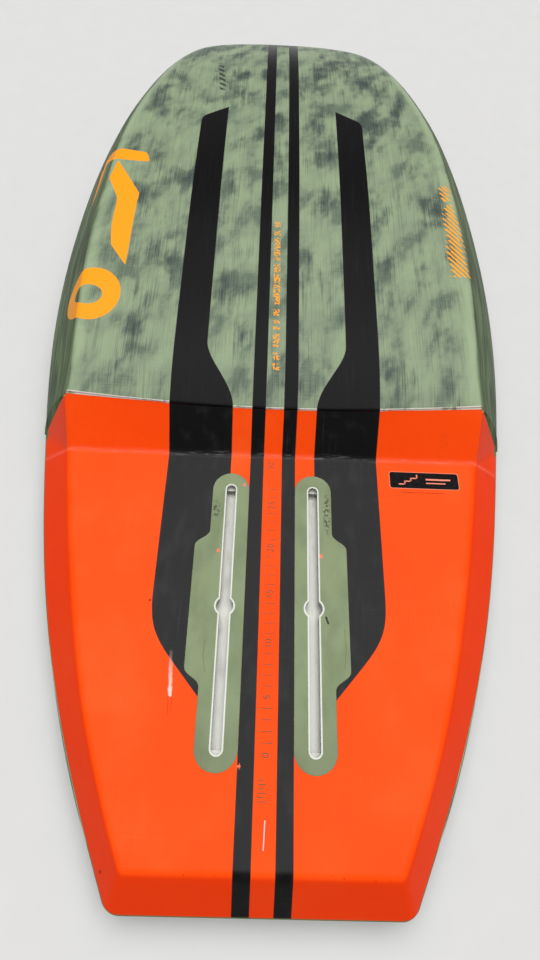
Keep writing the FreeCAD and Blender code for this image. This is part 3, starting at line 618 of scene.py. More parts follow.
class Look(Nodes):
    """A material and its nodes. Places are millimetres in the row frame.

    A shape is a Value: how far a point lies outside it. a & b is where shapes overlap, a | b is both.
    """

    def __init__(self, name, **settings):
        self.material = bpy.data.materials.new(name)
        self.material.use_nodes = True
        super().__init__(self.material.node_tree)
        self.shader = self.tree.nodes["Principled BSDF"]
        self.feed(**settings)
        self.place = self.scaled(self.node("TexCoord", {}, "Object"), (1 / MM, 1 / MM, 1 / MM))
        parts = self.node("SeparateXYZ", {0: self.place}).socket.node
        self.x, self.y, self.z = (Value(self, socket) for socket in parts.outputs)

    def feed(self, **settings):
        """Sets the shader's sockets; an underscore in a name stands for a space."""
        for name, value in settings.items():
            self.join(self.shader.inputs[name.replace("_", " ")], value)

    def math(self, operation, *parts):
        return self.node("Math", dict(enumerate(parts)), operation=operation)

    def scaled(self, place, by):
        return self.node("VectorMath", {0: place, 1: by}, operation="MULTIPLY")

    def at(self, x, y, z=0.0):
        """A place put together from three numbers."""
        return self.node("CombineXYZ", {0: x, 1: y, 2: z})

    def noise(self, size, detail, place=None):
        """Soft random numbers about 0.5; size is how long their features are along x, y and z."""
        place = self.scaled(place or self.place, tuple(1 / s for s in size))
        return self.node("TexNoise", {"Vector": place, "Scale": 1.0, "Detail": detail})

    def fade(self, value, start, end):
        """0 up to start, 1 from end on, and smooth between."""
        return self.node("MapRange", {"Value": value, "From Min": start, "From Max": end},
                         interpolation_type="SMOOTHSTEP")

    def patches(self, size, detail, start, end):
        """Soft random patches: 1 where the noise is past end, 0 where it is short of start."""
        return self.fade(self.noise(size, detail), start, end)

    def blend(self, factor, first, second):
        """A colour between two colours."""
        return self.node("Mix", {0: factor, 6: first, 7: second}, 2, data_type="RGBA")

    def coat(self, factor, colour):
        """Lays a colour over what has been painted so far."""
        self.colour = self.blend(factor, self.colour, colour)

    def finish(self, roughness, height, depth, **settings):
        """Puts the coats on the shader; the surface rises by depth millimetres where height is 1."""
        bump = self.node("Bump", {"Distance": depth * MM, "Height": height})
        self.feed(Base_Color=self.colour, Roughness=roughness, Normal=bump, **settings)
        return self

    def note(self, name):
        """A number that the mesh carries at each point."""
        return self.node("Attribute", {}, "Fac", attribute_name=name)

    def filled(self, shape, soft):
        """1 inside a shape and 0 outside."""
        return self.fade(shape, soft, -soft)

    def edge(self, across, start, end):
        """The half plane to the right of the line from start to end."""
        run = (end[0] - start[0], end[1] - start[1])
        length = math.hypot(*run)
        return (across - start[0]) * (-run[1] / length) + (self.y - start[1]) * (run[0] / length)

    def polygon(self, soft, *corners):
        """A convex polygon whose corners run clockwise and are rounded by soft."""
        shape = self.edge(self.x, corners[-1], corners[0])
        for start, end in zip(corners, corners[1:]):
            shape = self.math("SMOOTH_MAX", shape, self.edge(self.x, start, end), soft)
        return shape

    def disc(self, x, y, radius_x, radius_y):
        a, b = (self.x - x) * (1 / radius_x), (self.y - y) * (1 / radius_y)
        return (self.math("SQRT", a * a + b * b) - 1.0) * min(radius_x, radius_y)

    def stroke(self, half_width, *points):
        """A line with round ends through points."""
        shape = None
        for (ax, ay), (bx, by) in zip(points, points[1:]):
            run_x, run_y = bx - ax, by - ay
            size = run_x * run_x + run_y * run_y
            x, y = self.x - ax, self.y - ay
            share = ((x * run_x + y * run_y) * (1 / size) & 0.0) | 1.0
            dx, dy = x - share * run_x, y - share * run_y
            length = self.math("SQRT", dx * dx + dy * dy) - half_width
            shape = length if shape is None else shape | length
        return shape


# ---- the paint

SAGE, MOSS = (0.215, 0.268, 0.166), (0.252, 0.322, 0.19)
FERN, SLATE = (0.1, 0.136, 0.095), (0.023, 0.034, 0.038)
# The last colour on the next line is the painted highlight along the front bottom's crease.
BRUSH_PALE, BRUSH_DARK, CREASE_HIGHLIGHT = (0.31, 0.38, 0.25), (0.08, 0.108, 0.08), (0.33, 0.415, 0.245)
RAIL_GREEN, RAIL_PALE = (0.1, 0.148, 0.062), (0.165, 0.245, 0.1)
# The second colour on the next line is the rail's brown tone, darkened as painted shade under the front
# crease.
RAIL_DARK, RAIL_BROWN_AND_SHADE = (0.028, 0.046, 0.024), (0.07, 0.066, 0.036)
ORANGE, ORANGE_DEEP, ORANGE_PALE = (0.98, 0.075, 0.005), (0.95, 0.062, 0.003), (0.98, 0.115, 0.02)
# The second colour on the next line is painted shade for the rear bevels and the step's corner.
ORANGE_GRIME, ORANGE_PAINTED_SHADE = (0.62, 0.045, 0.006), (0.62, 0.018, 0.001)
# The second colour on the next line is the painted highlight along the step's foot on the orange.
AMBER, FOOT_HIGHLIGHT_ORANGE, NICK_PALE = (0.97, 0.33, 0.003), (0.95, 0.55, 0.45), (0.95, 0.66, 0.58)
BLACK, SOOT = (0.0042, 0.004, 0.0042), (0.013, 0.012, 0.012)
# The second colour on the next line is the painted highlight along the step's foot on the black.
BLACK_DUST, FOOT_HIGHLIGHT_BLACK = (0.022, 0.022, 0.022), (0.024, 0.025, 0.026)
# The third colour on the next line is dark red for small marks, and for the painted shadow round the nick
# near the tail.
CHALK, ROSE, OXIDE_AND_SHADOW, CRUMB = (0.78, 0.74, 0.68), (0.85, 0.18, 0.09), (0.42, 0.02, 0.004), (0.25, 0.02, 0.003)
FRONT_FLECK, DECK_FLECK = (0.3, 0.3, 0.26), (0.42, 0.42, 0.36)
STRIPE_INNER, STRIPE_OUTER = 10.2, 25.4
PANEL_OUTER, PANEL_INNER, PANEL_INNER_REAR = 118, 80, 47
PANEL_WIDENS = (-105, -185)


def black_marks(look):
    """1 on the black paint: two stripes from nose to tail, and a long panel on each side of them
    that widens inwards round the foil tracks."""
    across = abs(look.x)
    stripes = abs(across - (STRIPE_OUTER + STRIPE_INNER) / 2) - (STRIPE_OUTER - STRIPE_INNER) / 2
    outer = look.math("SMOOTH_MAX", across - PANEL_OUTER, look.edge(across, (80, 348.5), (113, 323.5)), 14)
    outer = look.math("SMOOTH_MAX", outer, look.edge(across, (105, -441), (66, -487)), 30)
    inner = look.fade(look.y, *PANEL_WIDENS) * (PANEL_INNER_REAR - PANEL_INNER) + PANEL_INNER
    return look.filled((outer & (inner - across)) | stripes, 0.4)


def flecks(look, size, share):
    """Small scattered specks: 1 on a speck."""
    return look.patches((size, size, size), 1, 0.5 + share, 0.53 + share)


def sage_ground(look, edge_band=None):
    """Brushed green paint under soft slate-blue clouds; edge_band keeps the clouds off the rim."""
    streak = look.noise((0.9, 70, 40), 4)
    weave = look.noise((48, 1.2, 20), 2)
    slant = look.at(look.x - look.y * 0.35, look.y + look.x * 0.35, look.z)
    drift = look.noise((30, 84, 50), 4, slant)
    tone = look.noise((26, 52, 38), 4, slant)
    brush = look.noise((7, 60, 20), 3)
    nose = look.fade(look.y, 120, 560) * 0.05
    cloud = look.noise((36, 50, 42), 5) * 0.55 + drift * 0.45 + nose
    deep = look.fade(cloud + (streak - 0.5) * 0.22 + (brush - 0.5) * 0.22, 0.49, 0.71)
    if edge_band is not None:
        deep = deep * edge_band
    look.colour = look.blend(look.fade(tone, 0.34, 0.54), MOSS, SAGE)
    look.coat(look.fade(tone + (cloud - 0.5) * 0.6, 0.48, 0.66) * 0.9, FERN)
    look.coat(look.fade(streak + (weave - 0.5) * 0.6, 0.54, 0.34) * 0.22, BRUSH_PALE)
    look.coat(look.fade(streak + (brush - 0.5) * 0.5, 0.5, 0.7) * 0.34, BRUSH_DARK)
    look.coat(deep * 0.82, SLATE)
    return streak, weave


def amber_mark(look):
    """Plain shapes in amber on the left: a bar over the rail, a long tapered body and a ring."""
    bar = look.polygon(5, (-250, 201), (-250, 231), (-186, 219), (-176, 184), (-220, 200))
    over = look.polygon(1, (-253, 126), (-253, 212), (-243, 212), (-247, 165))
    head = look.polygon(3, (-213, 120), (-230, 160), (-223, 198), (-187, 133), (-187, 120))
    blade = look.polygon(3, (-213, 133), (-187, 133), (-188, 3), (-210, 36), (-214, 68))
    hole = look.disc(-226, -46, 17, 15)
    hoop = look.disc(-222, -44, 34, 40) & (hole * -1)
    return bar | over | look.math("SMOOTH_MIN", head, blade, 4) | hoop


def wave_mark(look):
    """A quick brush scribble in amber on the right: slanting strokes that grow towards the tail."""
    x, y = look.x, look.y
    swing = look.math("SINE", (y + x * 0.55) * 0.62)
    middle = abs(x - 226 + swing * 3.5 + y * 0.02) - look.fade(y, 165, 20) * 5 - 5.5
    lengthwise = abs(y - 90) - 84
    gap = abs(y - 137 - (x - 220) * 0.4) * -1 + 4
    strokes = look.math("SINE", (y * 0.72 + x * 0.95)) * 2.2 + (look.noise((4, 9, 4), 2) - 0.5) * 5
    return (middle & lengthwise) & (strokes & gap)


def spine_scribble(look):
    """A plain amber scribble along the strip between the stripes, in word-long runs."""
    glyph = look.patches((2.3, 1.9, 3), 0, 0.49, 0.55)
    run = look.patches((400, 9, 400), 0, 0.38, 0.42)
    band = abs(look.x + 2 + look.y * 0.012) - 3.9
    lengthwise = abs(look.y + 25) - 115
    return look.filled(band & lengthwise, 0.5) * glyph * run


def nose_dashes(look):
    """A few short dark strokes near the nose, in place of small print."""
    from_middle = look.y - 440
    hatch = look.math("SINE", (look.y + look.x * 0.8) * 0.42) * 4 + 1
    return (abs(look.x + from_middle * 0.1 + 96) - 4.6) & (abs(from_middle) - 42) & hatch


def rail_wall(look, crease):
    """The front's rail: streaked green, with brown under the crease that is partly the rail's own tone and
    partly painted shade where the wall falls steeply.
    """
    along_rail = look.noise((2.4, 70, 1), 4, look.at(crease, look.y))
    smear = look.noise((9, 120, 1), 3, look.at(crease, look.y))
    wall = look.blend(look.fade(smear, 0.36, 0.62), RAIL_GREEN, RAIL_DARK)
    # Brown tone mixed with painted shade: darker, browner streaks within about 22 mm below the crease.
    brown = look.fade(along_rail, 0.48, 0.64) * look.fade(crease, -22, -2) * 0.6
    wall = look.blend(brown, wall, RAIL_BROWN_AND_SHADE)
    return look.blend(look.fade(along_rail, 0.48, 0.32) * 0.6, wall, RAIL_PALE)


def chipped(look):
    """Which stretches of a worn edge are bare."""
    return look.patches((9, 9, 9), 4, 0.3, 0.52)


def front_paint():
    look = Look("paint_front")
    crease = look.note("from_crease")
    # Painted highlight: near the crease the slate clouds are kept off, and a paler green band is laid where
    # the rounded edge catches the light. The band fades out towards the nose.
    streak, weave = sage_ground(look, look.fade(crease, 3, 24))
    crease_highlight = look.fade(crease, 0, 4) * look.fade(crease, 17, 7) * look.fade(look.y, 640, 380)
    look.coat(crease_highlight * 0.55, CREASE_HIGHLIGHT)
    on_wall = look.fade(crease, 1.2, -2)
    look.coat(on_wall, rail_wall(look, crease))
    marks = look.filled(amber_mark(look) | wave_mark(look), 0.5)
    look.coat(marks * (on_wall * -0.25 + 1), AMBER)
    look.coat(spine_scribble(look), AMBER)
    look.coat(look.filled(nose_dashes(look), 0.5) * 0.85, BLACK)
    look.coat(flecks(look, 2.2, 0.27), FRONT_FLECK)
    black = black_marks(look)
    soot = look.patches((3, 60, 30), 3, 0.5, 0.8) * 0.5
    look.coat(black, look.blend(soot, BLACK, SOOT))
    worn = look.filled(look.note("from_step") - 0.8, 0.5) * look.fade(crease, -1, 2)
    look.coat(worn * chipped(look) * (black * -0.9 + 0.75), CHALK)
    roughness = (streak * 0.14 + 0.34) * (black * -0.42 + 1) + on_wall * 0.1
    return look.finish(roughness, (streak + weave * 0.6) * (black * -0.8 + 1), 0.05,
                       Specular_IOR_Level=black * -0.08 + 0.14 - on_wall * 0.05)


def scuff_lines(look):
    """Faint fine scratches, along and across the board, in broad patches."""
    along = look.patches((1.3, 90, 30), 3, 0.56, 0.72)
    across = look.patches((90, 1.6, 30), 3, 0.58, 0.74)
    return (along & across) * look.patches((80, 70, 80), 3, 0.42, 0.66)


def rear_wear(look, black):
    """Scratches, chips and crumbs on the stepped-down rear, with a painted highlight along the step's foot
    and a painted shadow round a nick; black is 1 on the black paint.
    """
    y = look.y
    foot = look.filled(abs(y - STEP_FOOT - 0.5) - 1, 3.5)
    foot_chips = look.patches((16, 2.2, 3), 4, 0.52, 0.64)
    look.coat(foot * foot_chips * (black * 0.15 + 0.1), CHALK)
    # Painted highlight along the step's foot: pinkish on the orange, soft grey on the black.
    look.coat(foot * (black * -0.1 + 0.1), FOOT_HIGHLIGHT_ORANGE)
    look.coat(foot * black * 0.6, FOOT_HIGHLIGHT_BLACK)
    worn = look.filled(abs(look.note("from_step")) - 0.5, 0.5) * chipped(look)
    look.coat(worn * (black * -0.85 + 0.75), CHALK)
    rim_width = look.fade(y, -202, -189) * 4 + 0.9
    look.coat(look.filled(look.note("from_edge") - rim_width, 0.6), RAIL_GREEN)
    wobble = (look.noise((2.5, 6, 2.5), 3) - 0.5) * 3
    scratch = look.stroke(1.5, (-94, -447), (-92, -470), (-91, -487))
    look.coat(look.filled(scratch + wobble, 0.8) * look.fade(y, -436, -500) * 0.9, CHALK)
    prongs = look.stroke(0.3, (-92.5, -488), (-91.5, -504)) | look.stroke(0.3, (-89, -489), (-88.5, -502))
    look.coat(look.filled(prongs, 0.5) * 0.75, OXIDE_AND_SHADOW)
    nick = look.stroke(0.5, (0.5, -588), (-0.3, -609.5))
    # Painted shadow: a dark red edge round the pale nick.
    look.coat(look.filled(nick - 0.7, 0.6) * 0.6, OXIDE_AND_SHADOW)
    look.coat(look.filled(nick, 0.4) * 0.8, NICK_PALE)
    look.coat(look.filled(look.disc(-24, -546, 1.7, 0.9) | look.disc(-23.4, -546, 0.6, 1.9), 0.5), ROSE)
    look.coat(look.filled(look.disc(-120, -397, 1.4, 1.4) | look.disc(-138, -629, 1.6, 1.6), 0.5), OXIDE_AND_SHADOW)
    look.coat(look.filled(abs(y - TAIL - TAIL_BEVEL) - 2, 1) * flecks(look, 3, 0.22) * 0.8, CRUMB)


def rear_paint():
    look = Look("paint_rear")
    y = look.y
    cloud = look.noise((110, 130, 150), 3)
    grain = look.noise((5, 5, 5), 3)
    scuffs = scuff_lines(look)
    look.colour = look.blend(look.fade(cloud + (grain - 0.5) * 0.25, 0.4, 0.75) * 0.7, ORANGE, ORANGE_DEEP)
    look.coat(look.fade(cloud, 0.5, 0.28) * 0.55 + scuffs * 0.35, ORANGE_PALE)
    look.coat(look.patches((26, 60, 26), 4, 0.6, 0.8) * 0.22, ORANGE_GRIME)
    # Painted shade: the bevels below the rear flat, behind the step's foot, and the corner where the step
    # meets the side are darkened.
    lower = look.fade(look.z, REAR - 0.3, REAR - 3) * look.fade(y, STEP_FOOT + 4, STEP_FOOT - 4)
    corner = look.fade(abs(look.x), 233.5, 235.5) * look.fade(y, STEP_FOOT - 4, STEP_FOOT + 4)
    look.coat(lower * 0.6 + corner * 0.55, ORANGE_PAINTED_SHADE)
    black = black_marks(look)
    dusty = look.patches((14, 34, 14), 4, 0.5, 0.75) * 0.4 + scuffs * 0.6
    look.coat(black, look.blend(dusty, BLACK, BLACK_DUST))
    rear_wear(look, black)
    return look.finish(cloud * 0.12 + 0.24, grain, 0.03, Specular_IOR_Level=black * 0.085 + 0.045)


def deck_paint():
    look = Look("paint_deck", Specular_IOR_Level=0.2)
    streak, weave = sage_ground(look)
    look.coat(flecks(look, 3, 0.24), DECK_FLECK)
    return look.finish(streak * 0.15 + 0.38, streak + weave * 0.6, 0.05)


def plate_paint():
    """The flush plates round the tracks: satin olive, with dried dirt and a few nicks."""
    look = Look("plate_olive", Specular_IOR_Level=0.2)
    grain = look.noise((1.2, 1.2, 1.2), 3)
    look.colour = look.blend(look.patches((22, 40, 22), 3, 0.35, 0.7),
                             (0.212, 0.258, 0.134), (0.166, 0.207, 0.103))
    look.coat(look.fade(look.y, -480, -540) * 0.35, (0.12, 0.142, 0.074))
    scrapes = look.stroke(0.4, (-62, -435), (-63, -450), (-60, -465)) | \
        look.stroke(0.4, (75, -421), (76, -440), (74, -458))
    look.coat(look.filled(scrapes, 0.4) * 0.5, (0.09, 0.1, 0.05))
    dirt = look.filled(look.disc(60, -294, 3.5, 21) | look.disc(-60, -293, 4.5, 9), 2)
    look.coat(dirt * flecks(look, 3, 0.02), (0.06, 0.07, 0.03))
    bare = look.disc(53, -344, 1.8, 2.2) | look.disc(-55, -341, 1.6, 2) | look.disc(-31, -262, 1.4, 2.2)
    look.coat(look.filled(bare + (grain - 0.5) * 3, 0.6), ROSE)
    chip = look.stroke(1, (57, -409), (59, -415)) + (grain - 0.5) * 2
    look.coat(look.filled(chip, 0.4), (0.01, 0.01, 0.008))
    return look.finish(grain * 0.2 + 0.36, grain, 0.03)


def track_look():
    """Cast track: a pale rim on the flush face and a brighter, brushed channel."""
    look = Look("track_alloy", Metallic=0.35)
    brushed = look.noise((0.5, 40, 3), 3)
    look.colour = look.blend(brushed, (0.34, 0.34, 0.3), (0.5, 0.5, 0.45))
    look.coat(look.patches((8, 26, 12), 4, 0.48, 0.72) * 0.55, (0.27, 0.26, 0.23))
    look.coat(look.filled(look.z * -1 + (REAR - 0.35), 0.1), (0.44, 0.45, 0.4))
    return look.finish(brushed * 0.25 + 0.3, brushed, 0.04)


def speckled(name, colour, other, size, depth, roughness, metallic=0):
    """A plain moulded or cast finish: two close tones in a fine grain."""
    look = Look(name, Metallic=metallic)
    grain, cloud = look.noise((size,) * 3, 3), look.noise((size * 14,) * 3, 2)
    look.colour = look.blend(look.fade(grain + cloud, 0.75, 1.25), colour, other)
    return look.finish(roughness, grain, depth)


def brushed_steel():
    look = Look("steel", Metallic=1)
    lines = look.noise((30, 0.4, 0.4), 3)
    look.colour = look.blend(lines, (0.5, 0.5, 0.51), (0.74, 0.74, 0.75))
    return look.finish(lines * 0.25 + 0.2, lines, 0.01)


def pad_foam():
    """Closed-cell foam: charcoal with a fine cell texture and paler worn tops."""
    look = Look("pad_foam", Specular_IOR_Level=0.25)
    cells, cloud = look.noise((0.8, 0.8, 0.8), 3), look.noise((60, 60, 60), 3)
    look.colour = look.blend(look.fade(cells + cloud, 0.7, 1.3), (0.03, 0.032, 0.035), (0.062, 0.065, 0.068))
    look.coat(look.fade(look.z, 0.9, 0.1) * look.fade(cloud, 0.45, 0.65) * 0.5, (0.105, 0.108, 0.11))
    return look.finish(cells * 0.15 + 0.78, cells, 0.12)


def ink(name, colour, other):
    """Printed marks: ink that has worn a little thin."""
    look = Look(name, Specular_IOR_Level=0.04)
    worn = look.noise((3, 3, 3), 3)
    look.feed(Base_Color=look.blend(look.fade(worn, 0.4, 0.75), colour, other), Roughness=worn * 0.2 + 0.4)
    return look


def paint(piece, look):
    piece.data.materials.clear()
    piece.data.materials.append(look.material)


# ---- hidden core


def core_roof():
    """Two thick blocks, one a side, of everything above the inner face of the front laminate."""
    grid, _ = top_grid(graded(STEP, END, FINE, NOSE_FINE, 9))
    low, high = grid.copy(), grid.copy()
    low[..., 2] -= CORE_GAP
    low[0, :, 1] -= CORE_GAP
    high[..., 2] = FRONT + 60
    rows, columns = grid.shape[:2]
    count = rows * columns
    points = np.vstack([low.reshape(-1, 3), high.reshape(-1, 3)])
    faces = grid_faces(rows, columns) + grid_faces(rows, columns, count, True)
    index = np.arange(count).reshape(rows, columns)
    border = [*index[0], *index[1:, -1], *index[-1, -2::-1], *index[-2:0:-1, 0]]
    for a, b in zip(border, border[1:] + border[:1]):
        faces.append((b, a, a + count, b + count))
    return [placed("roof", mesh_from("roof", points * (side, 1, 1), faces, True)) for side in (1, -1)]


def hidden_core():
    """The front foam core, trimmed so that it stays under the softly rounded front laminate."""
    core = hull_piece("foam_front", nodes["core_front"].data.copy())
    settle(core, core_roof())
    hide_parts("core_front")
    return core


# ---- printed marks on the bottom

PRINT_FOOT, PRINT_RISE = REAR - 0.2, 0.12
RULER_ZERO, RULER_STEP, RULER_COUNT = -536.5, 10.0, 28
NUMERAL_TALL, CAPITAL_SHARE = 7.0, 0.7
TICK_HALF = 0.33


def slab(shape, x0, x1, y0, y1, rise, foot=PRINT_FOOT):
    """Adds a thin box to a bmesh, from the height foot to rise above the bottom."""
    made = bmesh.ops.create_cube(shape, size=1.0)["verts"]
    size = Vector((x1 - x0, y1 - y0, REAR + rise - foot)) * MM
    middle = Vector((x0 + x1, y0 + y1, foot + REAR + rise)) * MM / 2
    bmesh.ops.transform(shape, matrix=Matrix.Translation(middle) @ Matrix.Diagonal((*size, 1)), verts=made)


def numeral(shape, words, x, y):
    """Adds a flat number to a bmesh; it is centred on x, y and reads along the board."""
    curve = bpy.data.curves.new("numeral", "FONT")
    curve.body = words
    curve.size = NUMERAL_TALL / CAPITAL_SHARE * MM
    curve.align_x, curve.align_y = "CENTER", "CENTER"
    curve.extrude = (REAR + PRINT_RISE - PRINT_FOOT) / 2 * MM
    curve.resolution_u = 3
    writer = placed("numeral", curve)
    bpy.context.view_layer.update()
    mesh = bpy.data.meshes.new_from_object(writer)
    place = Vector((x, y, (PRINT_FOOT + REAR + PRINT_RISE) / 2)) * MM
    mesh.transform(Matrix.Translation(place) @ Matrix.Rotation(math.radians(90), 4, "Z"))
    shape.from_mesh(mesh)
    bpy.data.objects.remove(writer)


def made_of(name, shape, look):
    """A piece that rides on the hull, from a bmesh and a look."""
    piece = hull_piece(name, poured(shape, bpy.data.meshes.new(name)))
    paint(piece, look)
    return piece


def ruler():
    """The mast position scale between the stripes: a tick each centimetre, a number at every fifth.
    Behind it stand six short ticks in place of a printed word."""
    shape = bmesh.new()
    for k in range(RULER_COUNT):
        y = RULER_ZERO + RULER_STEP * k
        if k % 5:
            slab(shape, -5.0, 5.5, y - TICK_HALF, y + TICK_HALF, PRINT_RISE)
        else:
            numeral(shape, str(k), 0, y)
    numeral(shape, "30", -2, -237)
    for k in range(6):
        y = -557.0 - 3.4 * k
        slab(shape, -6.5, -1.0 + 2.0 * (k % 2), y, y + 0.8, PRINT_RISE)
    made_of("ruler", shape, ink("ruler_ink", (0.15, 0.085, 0.052), (0.29, 0.095, 0.035)))


LABEL_X, LABEL_Y, LABEL_HALF_X, LABEL_HALF_Y, LABEL_CORNER = 171.0, -249.0, 39.5, 10.8, 3.4
BORDER, EDGE_RISE, FIELD_RISE, SIGN_RISE = 0.8, 0.14, 0.2, 0.26
STAIR_RUN, STAIR_RISE, STAIR_BAR = 7, 3.9, 1.4


def rounded_loop(shrink):
    """The label's outline, drawn in by shrink."""
    points, radius = [], LABEL_CORNER - shrink
    for k, (side_x, side_y) in enumerate(((1, 1), (-1, 1), (-1, -1), (1, -1))):
        for turn in np.linspace(0, math.pi / 2, 7) + k * math.pi / 2:
            points.append((LABEL_X + side_x * (LABEL_HALF_X - LABEL_CORNER) + radius * math.cos(turn),
                           LABEL_Y + side_y * (LABEL_HALF_Y - LABEL_CORNER) + radius * math.sin(turn)))
    return points


def label():
    """A black label with a thin pale border, a stair sign, two bars and a row of dashes below it."""
    x, y = LABEL_X, LABEL_Y
    made_of("label_edge", lifted(rounded_loop(0.0), PRINT_FOOT, REAR + EDGE_RISE),
            ink("label_edge", (0.66, 0.24, 0.14), (0.8, 0.2, 0.1)))
    made_of("label_field", lifted(rounded_loop(BORDER), PRINT_FOOT, REAR + FIELD_RISE),
            ink("label_field", BLACK, SOOT))
    sign = bmesh.new()
    for k in range(3):
        left, foot = x - 29 + STAIR_RUN * k, y - 5.8 + STAIR_RISE * k
        slab(sign, left, left + 7.8, foot, foot + STAIR_BAR, SIGN_RISE, REAR)
        slab(sign, left + 6.4, left + 6.4 + STAIR_BAR, foot, foot + 5.3, SIGN_RISE, REAR)
    slab(sign, x + 2, x + 30, y + 0.6, y + 2.6, SIGN_RISE, REAR)
    slab(sign, x + 2, x + 24, y - 3.8, y - 2.4, SIGN_RISE, REAR)
    made_of("label_sign", sign, ink("label_ink", (0.86, 0.25, 0.16), (0.74, 0.3, 0.22)))
    dashes = bmesh.new()
    for k in range(13):
        left = x - 27.6 + 3.9 * k
        slab(dashes, left, left + 2.4 + k % 3 * 0.4, y - 16.0, y - 15.0, PRINT_RISE)
    made_of("label_small_print", dashes, ink("small_ink", (0.3, 0.03, 0.006), (0.5, 0.045, 0.006)))


# ---- deck pads

TILE_PITCH, TILE_DROP, TILE_GROOVE, TILE_EASE = 17.0, 1.5, 1.1, 0.5
TILE_TURNS = (math.radians(62), math.radians(118))
PAD_MARGIN = 2.5
GROOVED_AREA, RAISED_AREA = 30, 8


def grooved_pad(node):
    """A foam pad whose tread is cut into diamonds by narrow grooves."""
    loop = outer_loop(node, 0.0)
    shape = lifted(loop, TILE_DROP, DECK)
    tread = [f for f in shape.faces if f.normal.z < -0.9]
    margin = bmesh.ops.inset_region(shape, faces=tread, thickness=PAD_MARGIN * MM, use_even_offset=True)
    tread = [f for f in shape.faces if f.normal.z < -0.9 and f not in margin["faces"]]
    for turn in TILE_TURNS:
        normal = Vector((-math.sin(turn), math.cos(turn), 0))
        shifts = [normal.x * x + normal.y * y for x, y in loop]
        first, last = math.floor(min(shifts) / TILE_PITCH), math.ceil(max(shifts) / TILE_PITCH)
        for k in range(first, last + 1):
            geom = list({*tread, *(e for f in tread for e in f.edges), *(v for f in tread for v in f.verts)})
            spot = normal * (k + 0.5) * TILE_PITCH * MM
            cut = bmesh.ops.bisect_plane(shape, geom=geom, plane_co=spot, plane_no=normal, dist=1e-7)
            tread = [f for f in cut["geom"] if isinstance(f, bmesh.types.BMFace)]
    big = [f for f in tread if f.calc_area() > GROOVED_AREA * MM * MM]
    bmesh.ops.inset_individual(shape, faces=big, thickness=TILE_GROOVE * MM, use_even_offset=True)
    small = [f for f in big if f.is_valid and f.calc_area() > RAISED_AREA * MM * MM]
    bmesh.ops.inset_individual(shape, faces=small, thickness=TILE_EASE * MM, depth=TILE_DROP * MM)
    return shape


def deck_pads():
    foam = pad_foam()
    for node in sorted(nodes):
        if node.startswith("deck_pad_"):
            piece = made_of(node + "_foam", grooved_pad(node), foam)
            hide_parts(node)


# ---- fittings

EASE_ANGLE = math.radians(40)
EASED = {"track_plate_left": 0.4, "track_plate_right": 0.4, "handle_cup": 0.5, "leash_cup": 0.5,
         "vent_housing": 0.5, "handle_grip": 2.0, "vent_screw": 0.3}


def eased(piece, width):
    """Rounds a piece's sharp edges a little."""
    ease = piece.modifiers.new("ease", "BEVEL")
    ease.width = width * MM
    ease.segments = 2
    ease.limit_method = "ANGLE"
    ease.angle_limit = EASE_ANGLE
    ease.harden_normals = True


def fittings():
    """Gives the carried-over CAD nodes their looks, and returns the foam look of the cores."""
    foam = speckled("core_foam", (0.72, 0.7, 0.62), (0.55, 0.53, 0.46), 1.4, 0.3, 0.9)
    looks = {
        speckled("moulded_black", (0.018, 0.018, 0.019), (0.03, 0.03, 0.031), 0.8, 0.04, 0.48):
            ("handle_cup", "leash_cup", "vent_housing"),
        brushed_steel(): ("leash_pin", "vent_screw"),
        speckled("seal_rubber", (0.011, 0.011, 0.011), (0.02, 0.02, 0.02), 0.6, 0.03, 0.7): ("vent_ring",),
        foam: ("core_rear",),
        speckled("dense_foam", (0.62, 0.47, 0.26), (0.48, 0.35, 0.18), 1.0, 0.2, 0.85):
            ("insert_blocks", "foil_block_left", "foil_block_right"),
        speckled("insert_brass", (0.72, 0.5, 0.22), (0.55, 0.36, 0.14), 0.5, 0.02, 0.35, 1.0):
            ("strap_inserts",),
        speckled("grip_rubber", (0.02, 0.021, 0.022), (0.04, 0.041, 0.043), 1.1, 0.15, 0.75):
            ("handle_grip",),
        plate_paint(): ("track_plate_left", "track_plate_right"),
        track_look(): ("track_left", "track_right")}
    for look, names in looks.items():
        for name in names:
            paint(nodes[name], look)
    for name, width in EASED.items():
        eased(nodes[name], width)
    return foam


# ---- build

rear, front, places = hull_top()
deck = hull_deck(places)
paint(rear, rear_paint())
paint(front, front_paint())
paint(deck, deck_paint())
paint(hidden_core(), fittings())
ruler()
label()
deck_pads()

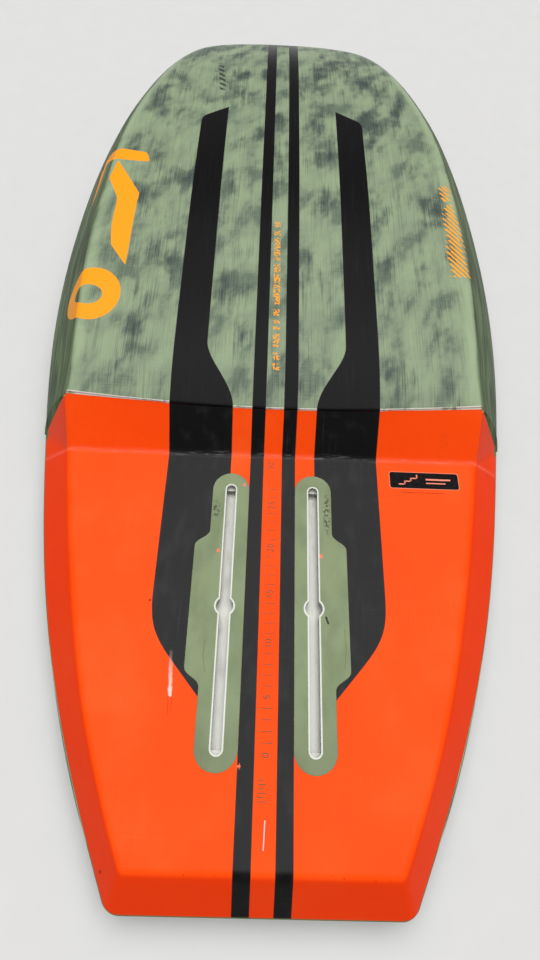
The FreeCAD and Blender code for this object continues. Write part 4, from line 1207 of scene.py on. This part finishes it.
# ---- camera, light and floor

CAMERA_PLACE = Vector((-16.04, -581.55, 662.64))
CAMERA_TURNS = ((-2.347, "Z"), (28.548, "X"), (4.161, "Z"))
SENSOR_WIDTH, FOCAL_LENGTH = 36.0, 22.945
FLOOR_HALF = 20000
SKY_MIDDLE, SKY_COLOUR = Vector((0.05, 0.17, 0.98)).normalized(), (0.98, 0.99, 1.0)
SKY_RISE = {"From Min": 0.74, "From Max": 0.95, "To Min": 0.3, "To Max": 3.8}


def look_camera():
    """A hand-held view from over the tail, looking down along the board."""
    data = bpy.data.cameras.new("camera")
    data.sensor_width = SENSOR_WIDTH
    data.lens = FOCAL_LENGTH
    stance = Matrix.Translation(CAMERA_PLACE * MM)
    for degrees, axis in CAMERA_TURNS:
        stance = stance @ Matrix.Rotation(math.radians(degrees), 4, axis)
    camera = placed("camera", data)
    camera.matrix_world = stance
    bpy.context.scene.camera = camera


def studio_floor():
    corners = FLOOR_HALF * np.array([(-1, -1, 0), (1, -1, 0), (1, 1, 0), (-1, 1, 0)])
    floor = placed("floor", mesh_from("floor", corners, [(0, 1, 2, 3)]))
    look = Look("floor", Roughness=0.9, Specular_IOR_Level=0.1)
    look.feed(Base_Color=look.blend(look.noise((40, 40, 40), 2.0), (0.6, 0.59, 0.58), (0.63, 0.62, 0.61)))
    paint(floor, look)


def soft_sky():
    """Soft light, like a wide panel overhead that is set a little towards the nose."""
    world = bpy.data.worlds.new("world")
    bpy.context.scene.world = world
    world.use_nodes = True
    sky = Nodes(world.node_tree)
    toward = sky.node("VectorMath", {0: sky.node("TexCoord", {}, "Generated"), 1: SKY_MIDDLE}, "Value",
                      operation="DOT_PRODUCT")
    strength = sky.node("MapRange", {"Value": toward, **SKY_RISE}, interpolation_type="SMOOTHSTEP")
    background = sky.tree.nodes["Background"]
    sky.join(background.inputs["Color"], SKY_COLOUR)
    sky.join(background.inputs["Strength"], strength)


look_camera()
studio_floor()
soft_sky()
bpy.context.scene.view_settings.view_transform = "Standard"
